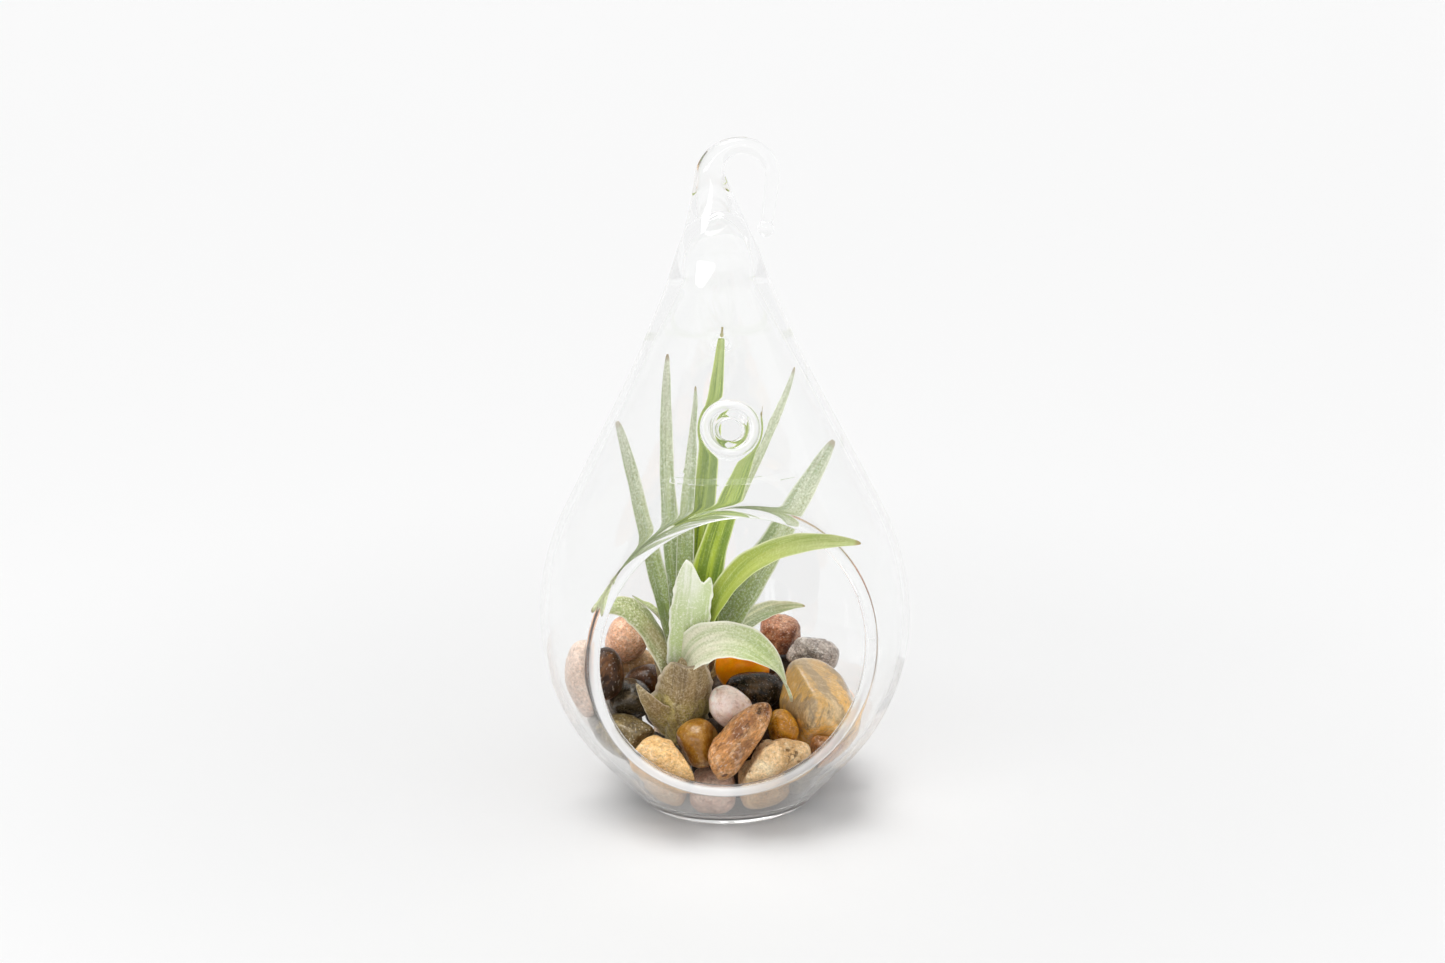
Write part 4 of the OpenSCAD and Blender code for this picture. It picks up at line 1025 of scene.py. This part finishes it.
# kind: colours, marks, then roughness, coat, bump and glow of light inside
STONES = {
    "rose": (
        ((0.68, 0.51, 0.41), (0.46, 0.29, 0.19), (0.82, 0.7, 0.6), (0.86, 0.76, 0.68)),
        (70, 0.6, 0.5, 0.2, 0.5, 0, 0.3, 0.2), (0.5, 0.2, 0.6, 0.0),
    ),
    "umber": (
        ((0.048, 0.016, 0.003), (0.012, 0.004, 0.001), (0.15, 0.06, 0.018), (0.24, 0.12, 0.05)),
        (80, 0.8, 0.45, 0.1, 0.2, 0, 0.25, 0.2), (0.3, 0.3, 0.35, 0.0),
    ),
    # Painted shade: near-black stones for the ones deep in the bed, where shade falls
    "shade": (
        ((0.06, 0.035, 0.02), (0.02, 0.011, 0.007), (0.12, 0.075, 0.045), (0.2, 0.13, 0.08)),
        (80, 0.7, 0.4, 0.1, 0.1, 0, 0.2, 0.1), (0.5, 0.1, 0.3, 0.0),
    ),
    "red": (
        ((0.68, 0.37, 0.22), (0.26, 0.1, 0.045), (0.86, 0.64, 0.48), (0.9, 0.78, 0.66)),
        (90, 0.7, 0.55, 0.1, 0.2, 0, 0.45, 0.0), (0.25, 0.7, 0.5, 0.0),
    ),
    "tan": (
        ((0.64, 0.41, 0.21), (0.32, 0.17, 0.07), (0.82, 0.62, 0.4), (0.82, 0.7, 0.5)),
        (80, 0.7, 0.5, 0.15, 0.3, 0, 0.35, 0.2), (0.45, 0.25, 0.45, 0.0),
    ),
    "dark": (
        ((0.034, 0.024, 0.013), (0.009, 0.006, 0.004), (0.16, 0.12, 0.07), (0.26, 0.2, 0.12)),
        (75, 0.8, 0.35, 0.15, 0.1, 0, 0.1, 0.1), (0.2, 0.35, 0.2, 0.0),
    ),
    "night": (
        ((0.012, 0.008, 0.004), (0.003, 0.002, 0.001), (0.09, 0.05, 0.02), (0.3, 0.18, 0.08)),
        (70, 0.9, 0.35, 0.15, 0.1, 0, 0.15, 0.1), (0.26, 0.15, 0.2, 0.0),
    ),
    "slate": (
        ((0.42, 0.35, 0.3), (0.08, 0.065, 0.055), (0.68, 0.6, 0.53), (0.85, 0.8, 0.75)),
        (44, 0.85, 0.55, 0.4, 0.3, 0, 0.45, 0.4), (0.28, 0.6, 0.8, 0.0),
    ),
    "moss": (
        ((0.15, 0.1, 0.032), (0.05, 0.03, 0.01), (0.38, 0.29, 0.13), (0.5, 0.42, 0.26)),
        (95, 0.85, 0.65, 0.15, 0.3, 0, 0.65, 0.1), (0.28, 0.6, 0.6, 0.0),
    ),
    "sand": (
        ((0.8, 0.5, 0.21), (0.58, 0.27, 0.07), (0.9, 0.68, 0.42), (0.92, 0.76, 0.54)),
        (75, 0.7, 0.5, 0.2, 0.25, 0, 0.25, 0.3), (0.5, 0.15, 0.6, 0.05),
    ),
    "olive": (
        ((0.31, 0.135, 0.01), (0.13, 0.045, 0.003), (0.6, 0.36, 0.09), (0.7, 0.5, 0.2)),
        (50, 0.75, 0.25, 0.1, 0.05, 0, 0.1, 0.0), (0.2, 0.6, 0.12, 0.35),
    ),
    "quartz": (
        ((0.84, 0.68, 0.6), (0.48, 0.26, 0.16), (0.96, 0.92, 0.88), (0.97, 0.94, 0.9)),
        (48, 0.85, 0.14, 0.2, 0.05, 0, 0.06, 0.15), (0.2, 0.6, 0.15, 0.25),
    ),
    "brown": (
        ((0.54, 0.24, 0.07), (0.16, 0.05, 0.013), (0.74, 0.43, 0.2), (0.9, 0.7, 0.54)),
        (90, 0.9, 0.7, 0.2, 0.9, 0, 0.4, 0.2), (0.3, 0.55, 0.9, 0.0),
    ),
    "ridged": (
        ((0.78, 0.53, 0.28), (0.48, 0.26, 0.09), (0.9, 0.75, 0.5), (0.36, 0.18, 0.08)),
        (60, 0.7, 0.5, 0.12, 0.9, 0, 0.35, 0.6), (0.5, 0.2, 0.8, 0.0),
    ),
    "ochre": (
        ((0.82, 0.44, 0.085), (0.34, 0.22, 0.1), (0.88, 0.64, 0.34), (0.5, 0.36, 0.18)),
        (42, 0.95, 0.35, 0.2, 0.05, 0.45, 0.2, 0.5), (0.14, 1.0, 0.2, 0.05),
    ),
    "amber": (
        ((0.47, 0.19, 0.01), (0.12, 0.045, 0.004), (0.72, 0.41, 0.05), (0.66, 0.42, 0.12)),
        (80, 0.85, 0.4, 0.1, 0.1, 0, 0.25, 0.3), (0.24, 0.5, 0.3, 0.1),
    ),
    "orange": (
        ((0.95, 0.3, 0.0), (0.7, 0.14, 0.0), (0.98, 0.5, 0.01), (0.92, 0.56, 0.06)),
        (55, 0.5, 0.1, 0.05, 0.0, 0, 0.0, 0.0), (0.3, 0.15, 0.1, 0.3),
    ),
    "maroon": (
        ((0.4, 0.14, 0.055), (0.11, 0.03, 0.012), (0.62, 0.34, 0.2), (0.8, 0.6, 0.48)),
        (70, 0.8, 0.55, 0.1, 0.2, 0, 0.45, 0.1), (0.32, 0.5, 0.5, 0.0),
    ),
    # Made paler than the stone's own colour: painted light for the low front stones in the shade of the bed
    "beige": (
        ((0.93, 0.7, 0.5), (0.66, 0.41, 0.23), (0.96, 0.86, 0.7), (0.96, 0.9, 0.78)),
        (80, 0.6, 0.45, 0.15, 0.3, 0, 0.3, 0.2), (0.45, 0.2, 0.4, 0.0),
    ),
    # Made paler than the stone's own colour: painted light for the low front stones in the shade of the bed
    "plum": (
        ((0.74, 0.5, 0.39), (0.38, 0.2, 0.13), (0.88, 0.72, 0.6), (0.88, 0.78, 0.68)),
        (90, 0.7, 0.45, 0.15, 0.2, 0, 0.3, 0.2), (0.35, 0.4, 0.35, 0.0),
    ),
    "grey": (
        ((0.36, 0.32, 0.27), (0.16, 0.135, 0.11), (0.54, 0.49, 0.43), (0.62, 0.57, 0.5)),
        (90, 0.7, 0.45, 0.15, 0.2, 0, 0.3, 0.2), (0.38, 0.3, 0.4, 0.0),
    ),
}
# Stretch of a stone's texture and its turn in degrees, where it has any
STONE_LAYS = {
    "umber": ((1, 1, 0.5), (0, 20, 0)),
    "slate": ((1, 1, 1.5), (20, 15, 0)),
    "brown": ((0.45, 1, 1), (0, -47, 12)),
    "ochre": ((1, 1.5, 0.6), (0, 35, 0)),
}


def principled(name):
    """A new material with its main shader."""
    material = bpy.data.materials.new(name)
    material.use_nodes = True
    return material, Wires(material.node_tree), material.node_tree.nodes["Principled BSDF"]


def group_values(colour_names, colours, mark_names, marks):
    """Values by the names of a node group's inputs, with the colours made opaque."""
    values = {label: (*colour, 1) for label, colour in zip(colour_names, colours)}
    values.update(zip(mark_names, marks))
    return values


def stone_material(kind):
    """A pebble finish of one kind, with its own colours, polish and relief."""
    found = bpy.data.materials.get("stone " + kind)
    if found:
        return found
    colours, marks, (rough, coat, bump, glow) = STONES[kind]
    stretch, turn = STONE_LAYS.get(kind, ((1, 1, 1), (0, 0, 0)))
    material, w, bsdf = principled("stone " + kind)
    place = w.place()
    lay = w.add("ShaderNodeMapping", {
        "Vector": place, "Rotation": [math.radians(a) for a in turn], "Scale": [1 / a for a in stretch],
    }, vector_type="TEXTURE")
    group = w.add("ShaderNodeGroup", node_tree=stone_group())
    w.fill(group, group_values(STONE_COLOURS, colours, STONE_MARKS, marks))
    w.fill(group, {"Vector": lay.outputs["Vector"]})
    colour = group.outputs["Color"]
    if kind == "ochre":
        # The big banded stone is greyer towards its top
        level = w.plus(w.parts(place)["Z"], w.times(w.noise(place, 70.0), 0.014))
        colour = w.mix(w.range(level, 0.034, 0.05, 0.0, 0.65), colour, (0.36, 0.27, 0.16, 1.0))
    w.fill(bsdf, {
        "Base Color": colour,
        "Roughness": w.range(group.outputs["Mask"], 0, 1, rough, min(0.95, rough + 0.3)),
        "Coat Weight": coat * 0.6,
        "Coat Roughness": 0.12,
        "IOR": 1.5,
        "Specular IOR Level": 0.12 + 0.3 * coat,
        "Subsurface Weight": glow,
        "Subsurface Radius": (0.004, 0.002, 0.001),
        "Subsurface Scale": 1.0,
        "Normal": w.relief(group.outputs["Height"], min(1.0, bump), 0.0006),
    })
    return material


def leaf_group():
    """Scaly leaf: length stripes, silvery and dark dots, paler edges, and tones at the root and the tip."""
    found = bpy.data.node_groups.get("Leaf scales")
    if found:
        return found
    marks = ("Along", "Edge", "Face", *LEAF_MARKS)
    group, given, out = new_group("Leaf scales", ["Blade", "Object"], LEAF_COLOURS, marks)
    w = Wires(group)
    place, blade, along = given["Object"], given["Blade"], given["Along"]
    upper = w.range(given["Face"], -0.15, 0.15)
    root = w.range(along, w.times(given["Root length"], 0.5), given["Root length"], 1.0, 0.0)
    colour = w.mix(w.range(along, 0.35, 1.0), given["Green"], given["Tip"])
    colour = w.mix(w.times(root, 0.9), colour, given["Root"])
    # One half of a folded leaf is deeper in tone
    folded = w.range(w.times(w.parts(blade)["X"], given["Fold"]), 0.0, 1.1, 0.0, 0.75)
    colour = w.mix(folded, colour, given["Deep"])
    stripes = w.noise(w.scaled(blade, (0.62, 0.02, 1.0)), 1.0, 4.0, 0.7, 0.1)
    thin = w.noise(w.scaled(blade, (1.9, 0.07, 1.0)), 1.0, 3.0, 0.65, 0.1)
    colour = w.mix(w.times(w.range(stripes, 0.4, 0.56, 1.0, 0.0), given["Stripes"]), colour, given["Deep"])
    thin = w.times(w.range(thin, 0.5, 0.68), w.times(given["Stripes"], 0.7))
    colour = w.mix(thin, colour, given["Silver"])
    patches = w.noise(place, 120.0, 4.0, 0.6)
    values = {"Factor": upper, "A": given["Under scales"], "B": given["Scales"]}
    amount = w.add("ShaderNodeMix", values, data_type="FLOAT").outputs["Result"]
    scales = w.times(amount, w.range(patches, 0.3, 0.7, 0.55, 1.3), clamp=True)
    colour = w.mix(w.times(scales, 0.45), colour, given["Silver"])
    dots = w.noise(place, 1700.0, 2.0, 0.7)
    light = w.times(w.range(dots, 0.52, 0.62), scales)
    dark = w.times(w.range(dots, 0.36, 0.47, 1.0, 0.0), scales)
    colour = w.mix(light, colour, w.mix(0.25, given["Silver"], (1.0, 0.97, 0.9, 1.0)))
    colour = w.mix(w.times(dark, 0.8), colour, w.mix(0.55, given["Deep"], given["Dry"]))
    # Paler edges: a pale margin of the leaf, which on the tops of sheaths and of the broken leaf is partly a
    # painted highlight
    rim = w.mix(0.3, given["Silver"], (1.0, 0.96, 0.86, 1.0))
    colour = w.mix(w.range(given["Edge"], 0.84, 0.97, 0.0, 0.85), colour, rim)
    rusty = w.times(w.range(w.noise(place, 170.0, 4.0, 0.65), 0.5, 0.66), given["Dryness"])
    colour = w.mix(w.times(rusty, 0.6), colour, given["Dry"])
    colour = w.mix(w.times(w.range(along, 0.965, 0.99), 0.7), colour, given["Dry"])
    height = w.plus(w.times(stripes, 0.8), w.times(dots, w.times(scales, 0.8)))
    w.fill(out, {"Color": colour, "Height": height, "Mask": light})
    return group


# Names of a leaf's colours and of the numbers of its texture
LEAF_COLOURS = ("Green", "Deep", "Silver", "Root", "Tip", "Dry")
LEAF_MARKS = ("Scales", "Under scales", "Root length", "Dryness", "Stripes", "Fold")
# kind: colours, then marks
LEAF_KINDS = {
    "fresh": (
        ((0.4, 0.47, 0.06), (0.2, 0.3, 0.02), (0.6, 0.66, 0.28), (0.29, 0.36, 0.02),
         (0.42, 0.47, 0.2), (0.3, 0.17, 0.07)), (0.2, 0.45, 0.5, 0.1, 0.6, 0),
    ),
    "deep": (
        ((0.26, 0.35, 0.01), (0.07, 0.145, 0.003), (0.44, 0.53, 0.08), (0.42, 0.52, 0.03),
         (0.3, 0.36, 0.12), (0.24, 0.14, 0.06)), (0.12, 0.3, 0.5, 0.1, 0.85, -0.7),
    ),
    "back": (
        ((0.34, 0.41, 0.14), (0.14, 0.22, 0.04), (0.64, 0.67, 0.55), (0.26, 0.37, 0.05),
         (0.5, 0.52, 0.4), (0.26, 0.16, 0.07)), (0.5, 0.55, 0.5, 0.1, 0.75, 0.3),
    ),
    "split": (
        ((0.72, 0.72, 0.46), (0.08, 0.18, 0.018), (0.84, 0.83, 0.64), (0.6, 0.64, 0.3),
         (0.5, 0.46, 0.26), (0.3, 0.18, 0.08)), (0.3, 0.7, 0.4, 0.2, 0.6, -1.0),
    ),
    "old": (
        ((0.34, 0.29, 0.11), (0.2, 0.15, 0.06), (0.54, 0.53, 0.4), (0.48, 0.5, 0.28),
         (0.36, 0.25, 0.13), (0.24, 0.14, 0.06)), (0.5, 0.6, 0.4, 0.9, 0.6, 0),
    ),
    "arch": (
        ((0.36, 0.5, 0.09), (0.2, 0.33, 0.04), (0.76, 0.76, 0.6), (0.7, 0.66, 0.52),
         (0.6, 0.65, 0.34), (0.26, 0.16, 0.08)), (0.35, 0.85, 0.75, 0.1, 0.5, 0),
    ),
    "scaly": (
        ((0.26, 0.37, 0.06), (0.12, 0.21, 0.025), (0.58, 0.56, 0.36), (0.34, 0.26, 0.12),
         (0.36, 0.42, 0.17), (0.2, 0.13, 0.06)), (0.5, 0.7, 0.6, 0.15, 0.6, 0.3),
    ),
    "pale": (
        ((0.66, 0.71, 0.46), (0.42, 0.54, 0.16), (0.88, 0.89, 0.8), (0.4, 0.53, 0.1),
         (0.84, 0.85, 0.74), (0.9, 0.88, 0.82)), (0.5, 0.6, 0.75, 0.0, 0.6, -0.3),
    ),
    "sheath": (
        ((0.27, 0.18, 0.06), (0.07, 0.04, 0.012), (0.54, 0.42, 0.24), (0.58, 0.5, 0.12),
         (0.32, 0.22, 0.09), (0.11, 0.06, 0.022)), (0.5, 0.6, 0.6, 0.6, 0.6, 0),
    ),
}


def leaf_material(s, kind):
    """A leaf finish of one kind: waxy, soft light through the blade, dull scales."""
    found = bpy.data.materials.get("leaf " + kind)
    if found:
        return found
    material, w, bsdf = principled("leaf " + kind)
    values = group_values(LEAF_COLOURS, LEAF_KINDS[kind][0], LEAF_MARKS, LEAF_KINDS[kind][1])
    chosen = {"fresh": {"Green": s.green}, "back": {"Silver": s.silver}, "sheath": {"Green": s.sheath}}
    values.update(chosen.get(kind, {}))
    values.update({"Object": w.place(), "Blade": w.mark("blade", "Vector")})
    values.update({label.title(): w.mark(label) for label in ("along", "edge", "face")})
    group = w.add("ShaderNodeGroup", node_tree=leaf_group())
    w.fill(group, values)
    w.fill(bsdf, {
        "Base Color": group.outputs["Color"],
        "Roughness": w.range(group.outputs["Mask"], 0, 1, 0.42, 0.7),
        "Subsurface Weight": 0.08,
        "Subsurface Radius": (0.001, 0.0014, 0.0005),
        "Subsurface Scale": 1.0,
        "Normal": w.relief(group.outputs["Height"], 0.5, 0.0002),
    })
    return material


def glass_material(s):
    """Clear glass that lets shadow rays through."""
    material, w, bsdf = principled("clear glass")
    bsdf.inputs["Base Color"].default_value = s.tint
    bsdf.inputs["Roughness"].default_value = 0.0
    bsdf.inputs["IOR"].default_value = 1.47
    bsdf.inputs["Transmission Weight"].default_value = 1.0
    clear = w.add("ShaderNodeBsdfTransparent", {"Color": (0.975, 0.975, 0.975, 1)}).outputs["BSDF"]
    # Painted highlight on the lip and the front vent's ring, and painted light low down, mixed in as white
    # diffuse
    white = w.add("ShaderNodeBsdfDiffuse", {"Color": (0.93, 0.93, 0.93, 1)}).outputs["BSDF"]
    painted_white_glass = w.shade(w.mark("milk"), bsdf.outputs["BSDF"], white)
    # Light caught in the wall is let out after a few turns, so that no edge goes black
    path = w.add("ShaderNodeLightPath").outputs
    freed = w.shade(w.math("GREATER_THAN", path["Glossy Depth"], 1.5), painted_white_glass, clear)
    surface = w.shade(path["Is Shadow Ray"], freed, clear)
    w.fill(material.node_tree.nodes["Material Output"], {"Surface": surface})
    return material


# Operators


class TERRARIUM_OT_glass(bpy.types.Operator):
    """Builds the blown glass globe with its mouth, vents and hook"""

    bl_idname = "terrarium.glass"
    bl_label = "Glass globe"

    def execute(self, context):
        s = context.scene.terrarium_glass
        points, quads, tris, marks = globe_mesh(GlassForm(s), s)
        globe = add_mesh("blown_globe", points, quads, glass_material(s), tris=tris, attributes=marks)
        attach(globe, "root")
        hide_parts("glass_globe")
        return {"FINISHED"}


class TERRARIUM_OT_plant(bpy.types.Operator):
    """Builds the air plant: stem, sheaths and leaves"""

    bl_idname = "terrarium.plant"
    bl_label = "Air plant"

    def execute(self, context):
        s = context.scene.terrarium_plant
        kinds = {}
        for index, leaf in enumerate(LEAVES):
            kinds.setdefault(leaf[-1], []).append((index, leaf))
        for kind, leaves in kinds.items():
            points, quads, tris, marks = leaf_mesh(s, leaves)
            material = leaf_material(s, kind)
            piece = add_mesh("leaves_" + kind, points, quads, material, tris=tris, attributes=marks)
            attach(piece, "root")
            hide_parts("air_plant")
        points, quads, tris, marks = stem_mesh()
        material = leaf_material(s, "sheath")
        stem = add_mesh("leaf_bases", points, quads, material, tris=tris, attributes=marks)
        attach(stem, "root")
        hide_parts("air_plant")
        return {"FINISHED"}


class TERRARIUM_OT_pebbles(bpy.types.Operator):
    """Builds the bed of river pebbles"""

    bl_idname = "terrarium.pebbles"
    bl_label = "Pebbles"

    def execute(self, context):
        s = context.scene.terrarium_pebbles
        form = GlassForm(context.scene.terrarium_glass)
        for k, pebble in enumerate(PEBBLES):
            points, quads, tris = pebble_mesh(form, s, k)
            name = pebble.name.replace("pebble_", "stone_")
            stone = add_mesh(name, points, quads, stone_material(pebble.kind), tris=tris)
            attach(stone, "root")
            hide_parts(pebble.name)
        return {"FINISHED"}


class TERRARIUM_OT_stage(bpy.types.Operator):
    """Sets the floor, the light and the camera"""

    bl_idname = "terrarium.stage"
    bl_label = "Stage"

    def execute(self, context):
        s = context.scene.terrarium_stage
        scene = context.scene
        scene.view_settings.view_transform = "Standard"
        self.floor(s)
        self.world(scene)
        self.lamps()
        self.camera(scene, s)
        return {"FINISHED"}

    def floor(self, s):
        """A wide flat floor with painted light and shade: a little paler towards the back, a painted shadow
        round the globe and painted shade in front.
        """
        material, w, bsdf = principled("pale floor")
        place = w.place()
        y = w.parts(place)["Y"]
        reach = w.add("ShaderNodeVectorMath", {0: place}, operation="LENGTH").outputs["Value"]
        # Painted light: paler towards the back
        colour = w.mix(w.range(y, 0.25, 1.5), s.floor, (0.93, 0.93, 0.93, 1.0))
        # Painted shadow round the globe
        colour = w.mix(w.range(reach, 0.08, 0.3, 1.0, 0.0), colour, (0.84, 0.84, 0.84, 1.0))
        # Painted shade in front of the globe
        colour = w.mix(w.range(y, -0.7, -0.05, 1.0, 0.0), colour, (0.8, 0.8, 0.8, 1.0))
        w.fill(bsdf, {"Base Color": colour, "Roughness": 0.7, "Specular IOR Level": 0.1})
        size, level = 3000.0, -0.02
        points = [(-size, -size, level), (size, -size, level), (size, size, level), (-size, size, level)]
        floor = add_mesh("floor", points, [(0, 1, 2, 3)], material)

    def world(self, scene):
        """A plain pale surround, brighter to the camera, in gloss and through glass."""
        world = bpy.data.worlds.new("studio")
        world.use_nodes = True
        w = Wires(world.node_tree)
        ground = world.node_tree.nodes["Background"]
        w.fill(ground, {"Color": (0.97, 0.98, 1.0, 1), "Strength": 0.36})
        bright = w.add("ShaderNodeBackground", {"Color": (0.91, 0.91, 0.91, 1), "Strength": 1.0})
        path = w.add("ShaderNodeLightPath").outputs
        seen = w.math("MAXIMUM", path["Is Camera Ray"], path["Is Transmission Ray"])
        seen = w.math("MAXIMUM", seen, path["Is Glossy Ray"])
        surface = w.shade(seen, ground.outputs["Background"], bright.outputs["Background"])
        w.fill(world.node_tree.nodes["World Output"], {"Surface": surface})
        scene.world = world

    def lamp(self, name, kind, direction, strength, colour):
        """A lamp that shines from a direction towards the globe."""
        data = bpy.data.lights.new(name, kind)
        data.energy = strength
        data.color = colour
        obj = bpy.data.objects.new(name, data)
        obj.rotation_euler = Vector(direction).to_track_quat("Z", "Y").to_euler()
        bpy.context.collection.objects.link(obj)
        return obj

    def lamps(self):
        """Two wide suns and, on the left, a long low window that is seen only in gloss."""
        warm = (1.0, 0.995, 0.985)
        key = self.lamp("key", "SUN", (-0.22, 0.04, 1.0), 1.46, warm)
        key.data.angle = math.radians(38)
        front = self.lamp("front", "SUN", (0.3, -0.75, 0.7), 1.02, warm)
        front.data.angle = math.radians(130)
        front.visible_glossy = False
        place, aim = Vector((-0.439, -0.941, 0.526)), Vector((0, 0, 0.16))
        window = self.lamp("window", "AREA", place - aim, 2.0, (1.0, 1.0, 1.0))
        window.location = place
        window.data.shape = "RECTANGLE"
        window.data.size, window.data.size_y = 1.4, 0.09
        window.visible_camera = window.visible_transmission = False

    def camera(self, scene, s):
        """A camera that looks slightly down at the middle of the globe."""
        data = bpy.data.cameras.new("camera")
        data.sensor_width = 36
        data.lens = s.lens
        data.clip_start = 0.01
        data.clip_end = 20
        aim = Vector((0.00005, 0, 0.08993))
        back = Vector((0, -math.cos(s.elevation), math.sin(s.elevation)))
        right = Vector((1, 0, 0))
        up = back.cross(right)
        across = math.cos(s.roll) * right + math.sin(s.roll) * up
        top = -math.sin(s.roll) * right + math.cos(s.roll) * up
        place = Matrix((across, top, back)).transposed().to_4x4()
        place.translation = aim + back * s.distance
        obj = bpy.data.objects.new("camera", data)
        obj.matrix_world = place
        bpy.context.collection.objects.link(obj)
        scene.camera = obj


PANEL_ROWS = (
    ("terrarium.glass", "terrarium_glass", (
        "globe_d", "base_d", "wall", "mouth_d", "lip_d", "ripple", "milk", "painted_bounce_light", "painted_bounce_light_top", "tint",
        "columns",
    )),
    ("terrarium.plant", "terrarium_plant", ("leaf_t", "breadth", "green", "silver", "sheath")),
    ("terrarium.pebbles", "terrarium_pebbles", ("rows", "gap")),
    ("terrarium.stage", "terrarium_stage", ("floor", "lens", "distance", "elevation", "roll")),
)


class TERRARIUM_PT_panel(bpy.types.Panel):
    """Lists the terrarium's settings and its steps"""

    bl_label = "Terrarium"
    bl_idname = "TERRARIUM_PT_panel"
    bl_space_type = "VIEW_3D"
    bl_region_type = "UI"
    bl_category = "Terrarium"

    def draw(self, context):
        for step, settings, names in PANEL_ROWS:
            box = self.layout.box()
            for name in names:
                box.prop(getattr(context.scene, settings), name)
            box.operator(step)


CLASSES = (
    GlassSettings, PlantSettings, PebbleSettings, StageSettings,
    TERRARIUM_OT_glass, TERRARIUM_OT_plant, TERRARIUM_OT_pebbles, TERRARIUM_OT_stage, TERRARIUM_PT_panel,
)
POINTERS = {
    "terrarium_glass": GlassSettings, "terrarium_plant": PlantSettings,
    "terrarium_pebbles": PebbleSettings, "terrarium_stage": StageSettings,
}


def register():
    for cls in CLASSES:
        bpy.utils.register_class(cls)
    for name, cls in POINTERS.items():
        setattr(bpy.types.Scene, name, PointerProperty(type=cls))


def unregister():
    for name in POINTERS:
        delattr(bpy.types.Scene, name)
    for cls in reversed(CLASSES):
        bpy.utils.unregister_class(cls)


def main():
    register()
    bpy.ops.terrarium.stage()
    bpy.ops.terrarium.pebbles()
    bpy.ops.terrarium.plant()
    bpy.ops.terrarium.glass()


if __name__ == "__main__":
    main()
